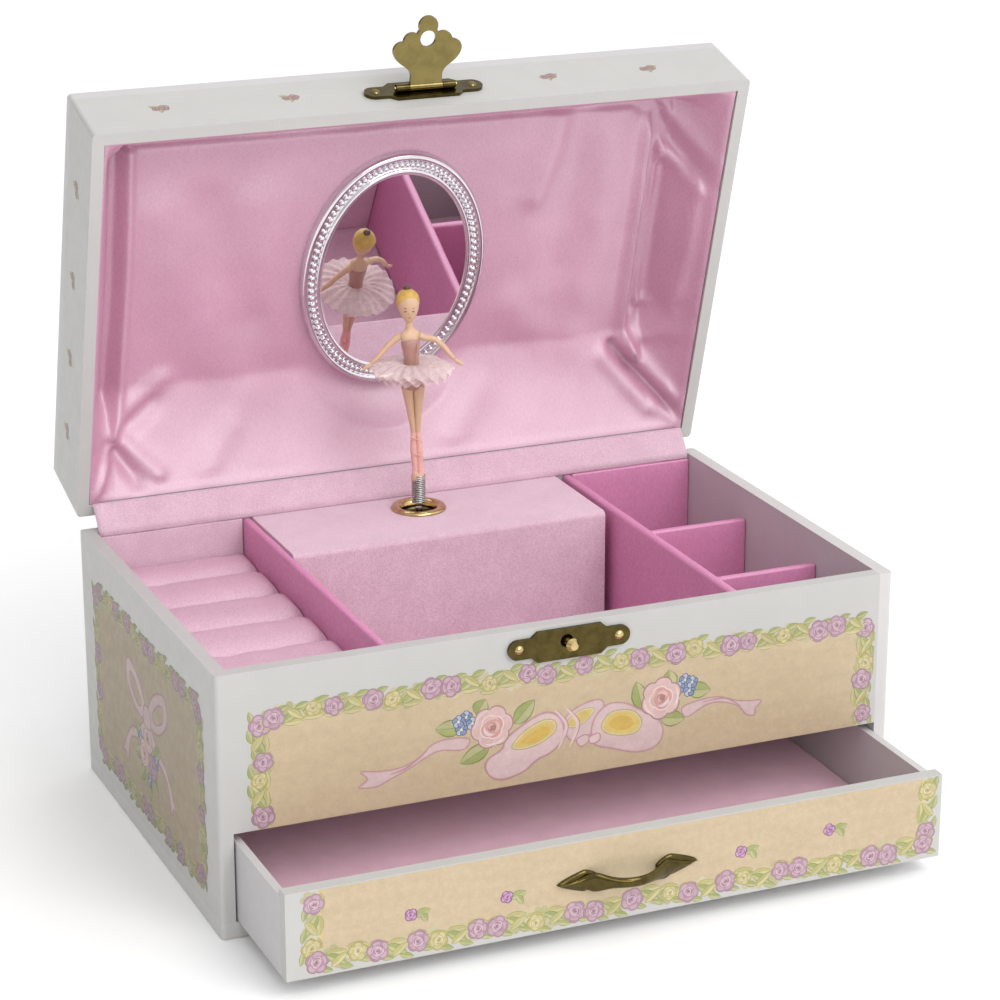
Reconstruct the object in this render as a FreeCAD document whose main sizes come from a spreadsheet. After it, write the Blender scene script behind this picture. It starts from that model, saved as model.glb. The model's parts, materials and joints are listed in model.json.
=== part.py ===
"""Musical jewellery box with a folding ballerina, a drawer, a mirror lid and an 18-note movement.

The origin is the centre of the box's underside, X runs to the right, -Y is the front and Z is up.
Every sub-part is drawn where it sits with the lid shut and the drawer in. Its Placement then
opens the lid, lifts the hasp and pulls the drawer to the rest pose. Lengths are millimetres.
"""
import FreeCAD, Part
import math
import os
import re
import Sketcher

Vector = FreeCAD.Vector
X_AXIS = Vector(1, 0, 0)
Y_AXIS = Vector(0, 1, 0)
Z_AXIS = Vector(0, 0, 1)

SIZES = {
    # case
    "box_width": 200, "box_depth": 125, "base_height": 75, "lid_height": 25,
    "wall": 4, "lid_wall": 3.5, "bottom_board": 4.5, "corner_radius": 1.2,
    "opening_top": 30, "tray_board": 3, "lining": 1,
    # drawer
    "drawer_gap": 0.5, "drawer_side": 2.2, "drawer_front_board": 4, "drawer_side_height": 22.5,
    "drawer_run": 116, "drawer_pull_out": 38.5,
    "handle_half": 20.5, "handle_foot": 10.5, "handle_rise": 7, "handle_height": 18,
    # lid hinges and hasp
    "lid_open_angle": 74, "hinge_back": 3.2, "hinge_radius": 2.6, "hinge_pin": 1.1,
    "hinge_spread": 62, "hinge_half": 12, "hinge_leaf": 1, "hinge_leaf_height": 12,
    "hasp_axis_up": 8.5, "hasp_axis_out": 2.1, "hasp_length": 20.7, "hasp_hole_down": 14.1,
    "hasp_lift_angle": 98, "hasp_plate_half": 18, "plate_thick": 1,
    # lid inside
    "lid_lining_thick": 2, "mirror_up": 62, "mirror_long": 78, "mirror_wide": 58,
    "glass_long": 64, "glass_wide": 45.5, "frame_thick": 3, "glass_thick": 1.6,
    # tray
    "tray_top": 73.5, "left_partition_x": -51.5, "left_partition_thick": 2.5,
    "right_partition_x": 52.5, "right_partition_thick": 3, "divider_thick": 2.5,
    "divider_top": 66, "divider_back_y": 19, "divider_front_y": -25,
    "roll_top": 64.4, "first_groove": 42, "roll_count": 6,
    # music compartment
    "cover_left": -48.5, "cover_right": 50, "cover_front": 21, "cover_wall": 2,
    "spindle_y": 46, "eyelet_radius": 8.25, "eyelet_bore": 5, "eyelet_tube": 0.8,
    # movement
    "movement_axis": 52, "barrel_x": -21, "idler_x": 14.4, "fan_x": 22.4,
    "barrel_module": 0.7, "barrel_teeth": 40, "drum_pinion_teeth": 20,
    "wheel_module": 0.6, "drum_wheel_teeth": 36, "idler_pinion_teeth": 12,
    "fan_module": 0.4, "idler_wheel_teeth": 30, "fan_pinion_teeth": 10,
    "crown_module": 0.8, "crown_teeth": 30, "spindle_teeth": 10,
    "drum_radius": 6.5, "barrel_radius": 12, "arbor_radius": 1, "running_gap": 0.08,
    "note_count": 18, "note_pitch": 0.65, "comb_front": 28.8, "frame_front": 23.4, "frame_back": 55, "frame_plate": 1.4,
    "key_clear": 0.9,
    # dancer
    "tilt_pivot": 76.5, "spring_radius": 2.15, "spring_bottom": 75.2, "spring_top": 84.3,
    "feet": 84.3, "knee": 98, "hip": 113, "waist": 122.6, "neck": 131, "head_centre": 138.2,
    "tutu_radius": 12.5,
}

doc = FreeCAD.newDocument("ballerina_jewellery_box")
sheet = doc.addObject("Spreadsheet::Sheet", "Sizes")
for row, (alias, number) in enumerate(SIZES.items(), 1):
    sheet.set("A%d" % row, alias)
    sheet.set("B%d" % row, str(number))
    sheet.setAlias("B%d" % row, alias)
doc.recompute()

sub_parts = []


def linked(expression):
    """The expression with each alias spelled as a cell of the sheet."""
    def spell(word):
        return "Sizes." + word.group() if word.group() in SIZES else word.group()
    return re.sub(r"[a-z][a-z_]*", spell, str(expression))


def size(expression):
    """The number that an expression of the sheet's aliases gives."""
    return float(sheet.evalExpression(linked(expression)))


# --- helpers: bodies, sketches and features --------------------------------------------------

def new_body(label):
    body = doc.addObject("PartDesign::Body", label)
    body.Label = label
    sub_parts.append(body)
    return body


def new_sketch(body, plane, offset):
    sketch = body.newObject("Sketcher::SketchObject", body.Name + "_sketch")
    support = [item for item in body.Origin.OriginFeatures if item.Role == plane][0]
    sketch.AttachmentSupport = (support, [""])
    sketch.MapMode = "FlatFace"
    sketch.setExpression("AttachmentOffset.Base.z", linked(offset))
    return sketch


def fix_point(sketch, geometry, point, across, up):
    """Tie one point's coordinates in the sketch to the sheet."""
    for kind, expression in (("DistanceX", across), ("DistanceY", up)):
        rule = sketch.addConstraint(Sketcher.Constraint(kind, geometry, point, size(expression)))
        sketch.setExpression("Constraints[%d]" % rule, linked(expression))


def add_rectangle(sketch, across, up):
    left, right = (size(edge) for edge in across)
    low, high = (size(edge) for edge in up)
    corners = [(left, low), (right, low), (right, high), (left, high)]
    first = sketch.GeometryCount
    for number in range(4):
        start = Vector(*corners[number], 0)
        end = Vector(*corners[(number + 1) % 4], 0)
        sketch.addGeometry(Part.LineSegment(start, end))
    for number in range(4):
        after = first + (number + 1) % 4
        sketch.addConstraint(Sketcher.Constraint("Coincident", first + number, 2, after, 1))
    for number in (0, 2):
        sketch.addConstraint(Sketcher.Constraint("Horizontal", first + number))
        sketch.addConstraint(Sketcher.Constraint("Vertical", first + number + 1))
    fix_point(sketch, first, 1, across[0], up[0])
    fix_point(sketch, first + 2, 1, across[1], up[1])


def add_circle(sketch, across, up, radius):
    centre = Vector(size(across), size(up), 0)
    circle = sketch.addGeometry(Part.Circle(centre, Z_AXIS, size(radius)))
    rule = sketch.addConstraint(Sketcher.Constraint("Radius", circle, size(radius)))
    sketch.setExpression("Constraints[%d]" % rule, linked(radius))
    fix_point(sketch, circle, 3, across, up)


def extrude(body, kind, sketch, length, reversed_way=False):
    """A Pad or Pocket of the sketch; the volume must change the way its kind says."""
    doc.recompute()
    before = body.Shape.Volume if body.Tip else 0
    feature = body.newObject("PartDesign::" + kind, body.Name + "_" + kind.lower())
    feature.Profile = sketch
    feature.Reversed = reversed_way
    feature.setExpression("Length", linked(length))
    doc.recompute()
    change = body.Shape.Volume - before
    if (change > 0) != (kind == "Pad"):
        raise ValueError("%s of %s changed the volume by %.3f" % (kind, body.Label, change))
    return feature


def panel(label, x, y, z):
    """A board between two expressions on each axis."""
    body = new_body(label)
    sketch = new_sketch(body, "XY_Plane", z[0])
    add_rectangle(sketch, x, y)
    extrude(body, "Pad", sketch, "(%s) - (%s)" % (z[1], z[0]))
    return body


def bore_down(body, x, y, radius, top, depth):
    """A round hole down from height top."""
    sketch = new_sketch(body, "XY_Plane", top)
    add_circle(sketch, x, y, radius)
    extrude(body, "Pocket", sketch, depth)


def bore_back(body, x, z, radius, front, depth):
    """A round hole towards the back, from the plane y = front."""
    sketch = new_sketch(body, "XZ_Plane", "-(%s)" % front)
    add_circle(sketch, x, z, radius)
    extrude(body, "Pocket", sketch, depth)


def round_edges(body, radius, wanted):
    """Fillet the straight edges whose midpoint passes the test."""
    names = []
    for number, edge in enumerate(body.Shape.Edges, 1):
        if wanted(edge.CenterOfMass, edge.tangentAt(edge.FirstParameter)):
            names.append("Edge%d" % number)
    base = body.Tip
    fillet = body.newObject("PartDesign::Fillet", body.Name + "_fillet")
    fillet.Base = (base, names)
    fillet.setExpression("Radius", linked(radius))
    doc.recompute()


def round_outside(body, lowest, highest):
    """Round the box's outer corner edges that run upright, between two heights."""
    def wanted(middle, along):
        at_corner = abs(abs(middle.x) - SIZES["box_width"] / 2) < 0.01
        at_corner = at_corner and abs(abs(middle.y) - SIZES["box_depth"] / 2) < 0.01
        return at_corner and abs(along.z) > 0.99 and lowest < middle.z < highest
    round_edges(body, "corner_radius", wanted)


def feature(label, shape):
    """A sub-part whose shape is built with Part's own functions."""
    item = doc.addObject("Part::Feature", label)
    item.Label = label
    item.Shape = shape
    sub_parts.append(item)
    return item


def fused(shapes):
    whole = shapes[0].multiFuse(shapes[1:]) if len(shapes) > 1 else shapes[0]
    return whole.removeSplitter()


def block(x, y, z):
    return Part.makeBox(x[1] - x[0], y[1] - y[0], z[1] - z[0], Vector(x[0], y[0], z[0]))


def rod(radius, start, end):
    """A cylinder from one point to another."""
    along = end - start
    return Part.makeCylinder(radius, along.Length, start, along)


def tapered(radius_low, radius_high, start, end):
    along = end - start
    return Part.makeCone(radius_low, radius_high, along.Length, start, along)


def ball(radius, centre):
    return Part.makeSphere(radius, centre)


def nail(head, centre, direction, length):
    """A round-headed nail: dome outside, shank going in against the direction."""
    dome = Part.makeSphere(head, centre - direction * head * 0.55)
    keep = Part.makeCylinder(head * 1.2, head, centre, direction)
    shank = Part.makeCylinder(head * 0.45, length, centre, direction * -1)
    return fused([dome.common(keep), shank])


def lid_place():
    """The turn about the lid's hinge line that opens the lid to its rest angle."""
    centre = Vector(0, size("box_depth / 2 + hinge_back"), size("base_height"))
    return FreeCAD.Placement(Vector(), FreeCAD.Rotation(X_AXIS, -size("lid_open_angle")), centre)


def hasp_place():
    """The turn about the hasp's pin, made before the lid's own."""
    centre = Vector(0, *hasp_axis())
    turn = FreeCAD.Rotation(X_AXIS, -size("hasp_lift_angle"))
    return lid_place() * FreeCAD.Placement(Vector(), turn, centre)


def hasp_axis():
    return size("-box_depth / 2 - hasp_axis_out"), size("base_height + hasp_axis_up")


def drawer_place():
    return FreeCAD.Placement(Vector(0, -size("drawer_pull_out"), 0), FreeCAD.Rotation())


# --- case ------------------------------------------------------------------------------------

HALF_WIDTH = "box_width / 2"
HALF_DEPTH = "box_depth / 2"
INNER_X = ("-box_width / 2 + wall", "box_width / 2 - wall")
INNER_Y = ("-box_depth / 2 + wall", "box_depth / 2 - wall")
FLOOR = "opening_top + tray_board"
PAPERED_FLOOR = "opening_top + tray_board + lining"


def make_case():
    board = panel("bottom_board", ("-" + HALF_WIDTH, HALF_WIDTH), ("-" + HALF_DEPTH, HALF_DEPTH),
                  ("0", "bottom_board"))
    round_outside(board, 0, size("bottom_board"))
    height = ("bottom_board", "base_height")
    left = panel("left_wall", ("-" + HALF_WIDTH, INNER_X[0]), ("-" + HALF_DEPTH, HALF_DEPTH), height)
    right = panel("right_wall", (INNER_X[1], HALF_WIDTH), ("-" + HALF_DEPTH, HALF_DEPTH), height)
    for side in (left, right):
        round_outside(side, size("bottom_board"), size("base_height"))
    back = panel("back_wall", INNER_X, (INNER_Y[1], HALF_DEPTH), height)
    bore_back(back, "barrel_x", "movement_axis", "arbor_radius + key_clear", INNER_Y[1], "wall")
    panel("front_fascia", INNER_X, ("-" + HALF_DEPTH, INNER_Y[0]), ("opening_top", "base_height"))
    floor = panel("tray_floor", INNER_X, INNER_Y, ("opening_top", FLOOR))
    for x, y in SCREW_PLACES:
        bore_down(floor, x, y, "arbor_radius", FLOOR, "tray_board")


SCREW_PLACES = [("-42", "27"), ("-42", "52"), ("34", "30"), ("34", "52")]


# --- drawer ----------------------------------------------------------------------------------

def make_drawer():
    low = "bottom_board + drawer_gap"
    side_x = "box_width / 2 - wall - drawer_gap"
    front_y = ("-box_depth / 2", "-box_depth / 2 + drawer_front_board")
    back_y = "-box_depth / 2 + drawer_run"
    inner_x = side_x + " - drawer_side"
    side_height = (low, low + " + drawer_side_height")
    floor_top = low + " + drawer_side"
    inside = ("-(%s)" % inner_x, inner_x)
    run = (front_y[1], back_y)
    boards = [
        panel("drawer_front", ("-(%s)" % side_x, side_x), front_y,
              (low, "opening_top - drawer_gap")),
        panel("drawer_left_side", ("-(%s)" % side_x, "-(%s)" % inner_x), run, side_height),
        panel("drawer_right_side", (inner_x, side_x), run, side_height),
        panel("drawer_back", inside, (back_y + " - drawer_side", back_y), side_height),
        panel("drawer_bottom", inside, (front_y[1], back_y + " - drawer_side"), (low, floor_top)),
        panel("drawer_lining", inside, (front_y[1], back_y + " - drawer_side"),
              (floor_top, floor_top + " + lining")),
    ]
    boards += [make_handle(), make_handle_nails()]
    for board in boards:
        board.Placement = drawer_place()


def make_handle():
    """A bow of flat brass between two pointed tabs."""
    face_y = -size("box_depth / 2")
    half, foot, rise = size("handle_half"), size("handle_foot"), size("handle_rise")
    height, thick = size("handle_height"), size("plate_thick")
    band = 1.6

    def arch(half_span, climb):
        ends = Vector(-half_span, face_y, height - band), Vector(half_span, face_y, height - band)
        return Part.Arc(ends[0], Vector(0, face_y - climb, height - band), ends[1]).toShape(), ends
    outer, outer_ends = arch(foot, rise)
    inner, inner_ends = arch(foot - band, rise - band)
    rim = [outer, Part.makeLine(outer_ends[1], inner_ends[1]), inner,
           Part.makeLine(inner_ends[0], outer_ends[0])]
    bow = Part.Face(Part.Wire(Part.__sortEdges__(rim))).extrude(Vector(0, 0, 2 * band))
    tabs = []
    for side in (-1, 1):
        tips = [(foot - band, -3), (foot + 3, -3.6), (half - 4, -2), (half, 0)]
        tips += [(x, -z) for x, z in reversed(tips[:-1])]
        points = [Vector(side * x, face_y, height + z) for x, z in tips]
        outline = Part.Face(Part.makePolygon(points + points[:1]))
        tabs.append(outline.extrude(Vector(0, -thick, 0)))
    return feature("drawer_handle", fused([bow] + tabs))


def make_handle_nails():
    """Nails driven from inside the drawer through its front into the tabs."""
    inside_y = size("drawer_front_board - box_depth / 2")
    across = size("handle_half - 5.5")
    shank = size("drawer_front_board + plate_thick / 2")
    nails = [nail(1.5, Vector(side * across, inside_y, size("handle_height")), Y_AXIS, shank)
             for side in (-1, 1)]
    return feature("drawer_handle_nails", Part.makeCompound(nails))


# --- lid -------------------------------------------------------------------------------------

LID_CEILING = "base_height + lid_height - lid_wall"
LID_X = ("-box_width / 2 + lid_wall", "box_width / 2 - lid_wall")
LID_Y = ("-box_depth / 2 + lid_wall", "box_depth / 2 - lid_wall")


def make_lid():
    height = ("base_height", LID_CEILING)
    whole_x = ("-" + HALF_WIDTH, HALF_WIDTH)
    whole_y = ("-" + HALF_DEPTH, HALF_DEPTH)
    top = panel("lid_top_board", whole_x, whole_y, (LID_CEILING, "base_height + lid_height"))
    left = panel("lid_left_wall", (whole_x[0], LID_X[0]), whole_y, height)
    right = panel("lid_right_wall", (LID_X[1], whole_x[1]), whole_y, height)
    for board in (top, left, right):
        round_outside(board, size("base_height"), size("base_height + lid_height"))
    boards = [
        top, left, right,
        panel("lid_front_wall", LID_X, (whole_y[0], LID_Y[0]), height),
        panel("lid_back_wall", LID_X, (LID_Y[1], whole_y[1]), height),
        make_lid_lining(),
        make_mirror_piece("mirror_backing", "mirror_long - 6", "mirror_wide - 6", "0", "0.8"),
        make_mirror_piece("mirror_glass", "glass_long + 2", "glass_wide + 2", "0.8",
                          "0.8 + glass_thick"),
        make_mirror_frame(),
    ]
    for board in boards:
        board.Placement = lid_place()


def make_lid_lining():
    """The padded satin that lines the lid: a shallow tray turned upside down."""
    lining = panel("lid_lining", LID_X, LID_Y, ("base_height", LID_CEILING))
    hollow = new_sketch(lining, "XY_Plane", "base_height")
    inside_x = (LID_X[0] + " + lid_lining_thick", LID_X[1] + " - lid_lining_thick")
    inside_y = (LID_Y[0] + " + lid_lining_thick", LID_Y[1] + " - lid_lining_thick")
    add_rectangle(hollow, inside_x, inside_y)
    extrude(lining, "Pocket", hollow, "lid_height - lid_wall - lid_lining_thick", True)
    return lining


def oval(long_axis, wide_axis, top, thick):
    """An oval plate hanging down from height top, its long way along Y."""
    centre = Vector(0, size("box_depth / 2 - mirror_up"), top)
    half_long, half_wide = long_axis / 2, wide_axis / 2
    curve = Part.Ellipse(centre + Y_AXIS * half_long, centre + X_AXIS * half_wide, centre)
    return Part.Face(Part.Wire(curve.toShape())).extrude(Vector(0, 0, -thick))


def mirror_seat():
    return size(LID_CEILING + " - lid_lining_thick")


def make_mirror_piece(label, long_axis, wide_axis, start, end):
    top = mirror_seat() - size(start)
    shape = oval(size(long_axis), size(wide_axis), top, size(end) - size(start))
    return feature(label, shape)


def make_mirror_frame():
    """The rim laps over the glass edge and wraps round the backing."""
    top, thick = mirror_seat(), size("frame_thick")
    ring = oval(size("mirror_long"), size("mirror_wide"), top, thick)
    opening = oval(size("glass_long"), size("glass_wide"), top, thick)
    behind = size("0.8 + glass_thick")
    glass_seat = oval(size("glass_long + 2"), size("glass_wide + 2"), top, behind)
    backing_seat = oval(size("mirror_long - 6"), size("mirror_wide - 6"), top, 0.8)
    frame = ring.cut(opening).cut(glass_seat).cut(backing_seat)
    low_edges = [edge for edge in frame.Edges
                 if abs(edge.CenterOfMass.z - (top - thick)) < 0.01]
    return feature("mirror_frame", frame.makeFillet(0.5, low_edges))


# --- hinges and hasp -------------------------------------------------------------------------

def hinge_line():
    return size("box_depth / 2 + hinge_back"), size("base_height")


def make_hinges():
    """Two butt hinges: three knuckles each, the middle one on the lid's leaf."""
    axis_y, axis_z = hinge_line()
    pin, half = size("hinge_pin"), size("hinge_half")
    base_leaves, lid_leaves, pins, base_nails, lid_nails = [], [], [], [], []
    for side in (-1, 1):
        middle = side * size("hinge_spread")
        outer_thirds = [(-half, -half / 3), (half / 3, half)]
        middle_third = [(-half / 3 + 0.25, half / 3 - 0.25)]
        base_leaves.append(hinge_leaf(middle, -1, outer_thirds, middle_third))
        lid_leaves.append(hinge_leaf(middle, 1, middle_third, outer_thirds))
        ends = [Vector(middle + end, axis_y, axis_z) for end in (-half - 0.6, half + 0.6)]
        pins.append(rod(pin, *ends))
        for across in (-half + 3, half - 3):
            for nails, way in ((base_nails, -1), (lid_nails, 1)):
                up = axis_z + way * (size("hinge_leaf_height") - 3.2)
                leaf_face = size(HALF_DEPTH) + size("hinge_leaf")
                nails.append(nail(1.4, Vector(middle + across, leaf_face, up), Y_AXIS, 3.6))
    feature("hinge_base_leaves", Part.makeCompound(base_leaves))
    feature("hinge_pins", Part.makeCompound(pins))
    feature("hinge_base_nails", Part.makeCompound(base_nails))
    feature("hinge_lid_leaves", Part.makeCompound(lid_leaves)).Placement = lid_place()
    feature("hinge_lid_nails", Part.makeCompound(lid_nails)).Placement = lid_place()


def hinge_leaf(middle, way, own_spans, other_spans):
    """One leaf: a plate below (way -1) or above the pin, with its knuckles round the pin."""
    back_y, half = size(HALF_DEPTH), size("hinge_half")
    axis_y, axis_z = hinge_line()
    radius, leaf = size("hinge_radius"), size("hinge_leaf")
    level = sorted((axis_z + way * size("hinge_leaf_height"), axis_z + way * 0.6))
    solids = [block((middle - half, middle + half), (back_y, back_y + leaf), level)]
    for start, end in own_spans:
        solids.append(rod(radius, Vector(middle + start, axis_y, axis_z),
                          Vector(middle + end, axis_y, axis_z)))
        web = sorted((axis_z + way * 1.9, axis_z))
        solids.append(block((middle + start, middle + end), (back_y + 0.2, axis_y - 1.2), web))
    shape = fused(solids)
    for start, end in other_spans:
        shape = shape.cut(rod(radius + 0.3, Vector(middle + start - 0.25, axis_y, axis_z),
                              Vector(middle + end + 0.25, axis_y, axis_z)))
    ends = [Vector(middle + end, axis_y, axis_z) for end in (-half - 1, half + 1)]
    return shape.cut(rod(size("hinge_pin") + 0.05, *ends))


def make_hinge_strip():
    """The fabric stay between the back lining and the lid's back edge, drawn taut at rest."""
    turn = lid_place()
    lid_edge = turn.multVec(Vector(0, size("box_depth / 2 - lid_wall - 0.6"), size("base_height")))
    foot_y, foot_z = size(INNER_Y[1]) - 0.1, size("tray_top") + 0.1
    bend_z = size("base_height") + 0.2
    thick = 0.6
    half = size(INNER_X[1]) - 0.5
    points = [Vector(-half, foot_y - thick, foot_z), Vector(-half, foot_y, foot_z),
              Vector(-half, foot_y, bend_z), Vector(-half, lid_edge.y - 0.2, lid_edge.z - 0.3),
              Vector(-half, lid_edge.y - 0.2 - thick, lid_edge.z - 0.3),
              Vector(-half, foot_y - thick, bend_z + 0.2)]
    strip = Part.Face(Part.makePolygon(points + points[:1])).extrude(Vector(2 * half, 0, 0))
    feature("hinge_strip", strip)


def plate_discs(discs, front_y, centre_z, thick):
    """Flat discs in one plane facing the front: (x, z, radius) for each."""
    return [Part.makeCylinder(radius, thick, Vector(x, front_y, centre_z + z), Y_AXIS)
            for x, z, radius in discs]


def eared_plate(centre_z, half_height, ear):
    """A flat plate that steps down through a slanted shoulder to a round ear at each end."""
    face_y = -size(HALF_DEPTH)
    thick, half = size("plate_thick"), size("hasp_plate_half")
    corners = [(half - ear, ear), (11.3, ear), (9.4, half_height)]
    corners += [(-x, z) for x, z in reversed(corners)]
    corners += [(-x, -z) for x, z in corners]
    points = [Vector(x, face_y - thick, centre_z + z) for x, z in corners]
    middle = Part.Face(Part.makePolygon(points + points[:1])).extrude(Vector(0, thick, 0))
    ears = [(side * (half - ear), 0, ear) for side in (-1, 1)]
    return fused([middle] + plate_discs(ears, face_y - thick, centre_z, thick))


def make_hasp():
    face_y = -size(HALF_DEPTH)
    thick = size("plate_thick")
    axis_y, axis_z = hasp_axis()
    knuckle, pin, half, split = 1.1, 0.5, 9, 5.2
    ends = [Vector(x, axis_y, axis_z) for x in (-half, -split, split, half)]
    bore = rod(pin + 0.05, ends[0] - X_AXIS, ends[3] + X_AXIS)
    tubes = fused([rod(knuckle, ends[0], ends[1]), rod(knuckle, ends[2], ends[3])]).cut(bore)
    plate_z = size("base_height + hasp_axis_up + 1")
    plate = fused([eared_plate(plate_z, 4.6, 2.9), tubes])
    feature("hasp_plate", plate).Placement = lid_place()
    feature("hasp_pin", rod(pin, ends[0] - X_AXIS * 0.5, ends[3] + X_AXIS * 0.5))
    sub_parts[-1].Placement = lid_place()
    nails = [nail(1.6, Vector(side * 14.8, face_y - thick, plate_z), Y_AXIS * -1, 3.2)
             for side in (-1, 1)]
    feature("hasp_nails", Part.makeCompound(nails)).Placement = lid_place()
    make_hasp_tongue(knuckle, pin, split - 0.2)
    stud_z = axis_z - size("hasp_hole_down")
    feature("catch_plate", eared_plate(stud_z, 4.4, 2.8))
    studs = [nail(1.6, Vector(side * 14.8, face_y - thick, stud_z), Y_AXIS * -1, 3.2)
             for side in (-1, 1)]
    front = Vector(0, face_y - thick, stud_z)
    post = fused([rod(1.2, front + Y_AXIS * 3.2, front - Y_AXIS * 2.4),
                  tapered(1.9, 1.1, front - Y_AXIS * 1.9, front - Y_AXIS * 3.2)])
    feature("catch_nails_and_stud", Part.makeCompound(studs + [post]))


def crown_face(front_y, top_z, half):
    """The tongue's flat middle: a neck that flares to its widest just above the side lobes."""
    flare = [(half, 2.5), (5.3, 4.8), (7.9, 7.0), (10.0, 9.4), (10.4, 11.0)]
    edges = []
    for side in (-1, 1):
        curve = Part.BSplineCurve()
        curve.interpolate([Vector(side * x, front_y, top_z - z) for x, z in flare])
        edges.append(curve.toShape())
        neck, lobe = (Vector(side * x, front_y, top_z - z) for x, z in (flare[0], flare[-1]))
        edges.append(Part.makeLine(Vector(side * half, front_y, top_z), neck))
        edges.append(Part.makeLine(lobe, Vector(side * 4.5, front_y, top_z - 14.6)))
    edges.append(Part.makeLine(*(Vector(side * half, front_y, top_z) for side in (-1, 1))))
    edges.append(Part.makeLine(*(Vector(side * 4.5, front_y, top_z - 14.6) for side in (-1, 1))))
    return Part.Face(Part.Wire(Part.__sortEdges__(edges)))


def make_hasp_tongue(knuckle, pin, half):
    """A crown-shaped tongue hanging from its pin: side lobes, an eye for the stud, and a knob."""
    axis_y, axis_z = hasp_axis()
    thick, length = size("plate_thick"), size("hasp_length")
    hole_down = size("hasp_hole_down")
    front = axis_y - thick / 2
    eye = 2.35
    discs = [(0, -length + 2.9, 2.9), (0, -hole_down, eye + 1.3)]
    for side in (-1, 1):
        discs += [(side * 7.7, -10.9, 2.7), (side * 4.7, -13.4, 2.7)]
    ends = Vector(-half, axis_y, axis_z), Vector(half, axis_y, axis_z)
    crown = [crown_face(front, axis_z, half - 0.2).extrude(Vector(0, thick, 0)),
             rod(knuckle, *ends)]
    body = fused(crown + plate_discs(discs, front, axis_z, thick))
    hole = Part.makeCylinder(eye, 3 * thick, Vector(0, front - thick, axis_z - hole_down), Y_AXIS)
    bore = rod(pin + 0.05, ends[0] - X_AXIS, ends[1] + X_AXIS)
    feature("hasp_tongue", body.cut(hole).cut(bore)).Placement = hasp_place()


# --- tray ------------------------------------------------------------------------------------

def make_tray():
    high = (FLOOR, "tray_top")
    left_end = "left_partition_x + left_partition_thick"
    right_end = "right_partition_x + right_partition_thick"
    panel("left_partition", ("left_partition_x", left_end), INNER_Y, high)
    panel("right_partition", ("right_partition_x", right_end), INNER_Y, high)
    panel("right_bay_back_panel", (right_end, INNER_X[1]), (INNER_Y[1] + " - 1.5", INNER_Y[1]), high)
    dividers = []
    lined_floor = size(PAPERED_FLOOR)
    for place in ("divider_back_y", "divider_front_y"):
        middle, half = size(place), size("divider_thick / 2")
        dividers.append(block((size(right_end), size(INNER_X[1])), (middle - half, middle + half),
                              (lined_floor, size("divider_top"))))
    feature("right_bay_dividers", Part.makeCompound(dividers))
    make_tray_linings(left_end, right_end)
    make_ring_rolls()


def make_tray_linings(left_end, right_end):
    """Plush-covered card: bay floors, the middle bay's front and the ring bay's back."""
    floor = (size(FLOOR), size(PAPERED_FLOOR))
    front, back = size(INNER_Y[0]), size(INNER_Y[1])
    card = size("lining")
    middle_x = (size(left_end), size("right_partition_x"))
    linings = [
        block(middle_x, (front, size("cover_front")), floor),
        block((size(right_end), size(INNER_X[1])), (front, back - 1.5), floor),
        block(middle_x, (front, front + card), (floor[1], size("tray_top"))),
        block((size(INNER_X[0]), size("left_partition_x")), (back - card, back),
              (floor[0], size("tray_top"))),
    ]
    feature("tray_linings", Part.makeCompound(linings))


def make_ring_rolls():
    """Plush rolls across the left bay; rings stand in the grooves between them."""
    front, back = size(INNER_Y[0]), size(INNER_Y[1] + " - lining")
    groove, count = size("first_groove"), int(size("roll_count"))
    pitch = (groove - front) / (count - 1)
    edges = [back] + [groove - number * pitch for number in range(count)]
    left, right = size(INNER_X[0]) + 0.2, size("left_partition_x") - 0.2
    low, high, gap, shoulder = size(FLOOR), size("roll_top"), 0.15, 9
    rolls = []
    for far, near in zip(edges, edges[1:]):
        far, near = far - gap, near + gap
        corners = [Vector(left, near, high - shoulder), Vector(left, near, low),
                   Vector(left, far, low), Vector(left, far, high - shoulder)]
        sides = [Part.makeLine(*pair) for pair in zip(corners, corners[1:])]
        crown = Part.Arc(corners[3], Vector(left, (far + near) / 2, high), corners[0]).toShape()
        rolls.append(Part.Face(Part.Wire(sides + [crown])).extrude(Vector(right - left, 0, 0)))
    feature("ring_rolls", Part.makeCompound(rolls))


def make_music_cover():
    cover = panel("music_cover", ("cover_left", "cover_right"), ("cover_front", INNER_Y[1]),
                  (FLOOR, "tray_top"))
    hollow = new_sketch(cover, "XY_Plane", FLOOR)
    add_rectangle(hollow, ("cover_left + cover_wall", "cover_right - cover_wall"),
                  ("cover_front + cover_wall", INNER_Y[1]))
    extrude(cover, "Pocket", hollow, "tray_top - (%s) - cover_wall" % FLOOR, True)
    bore_down(cover, "0", "spindle_y", "eyelet_bore + eyelet_tube", "tray_top", "cover_wall")

    def front_top(middle, along):
        on_top = abs(middle.z - size("tray_top")) < 0.01
        return on_top and abs(along.x) > 0.99 and abs(middle.y - size("cover_front")) < 0.01
    round_edges(cover, "cover_wall / 1.25", front_top)


def make_eyelet():
    """A brass ring through the cover's top, turned about the dancer's line."""
    body = new_body("spindle_eyelet")
    sketch = new_sketch(body, "XY_Plane", "tray_top")
    add_circle(sketch, "0", "spindle_y", "eyelet_radius")
    extrude(body, "Pad", sketch, "0.45")
    tube = new_sketch(body, "XY_Plane", "tray_top - cover_wall - 0.4")
    add_circle(tube, "0", "spindle_y", "eyelet_bore + eyelet_tube")
    extrude(body, "Pad", tube, "cover_wall + 0.5")
    bore_down(body, "0", "spindle_y", "eyelet_bore", "tray_top + 0.45", "cover_wall + 1.2")


# --- movement --------------------------------------------------------------------------------

def involute(angle):
    return math.tan(angle) - angle


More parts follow.
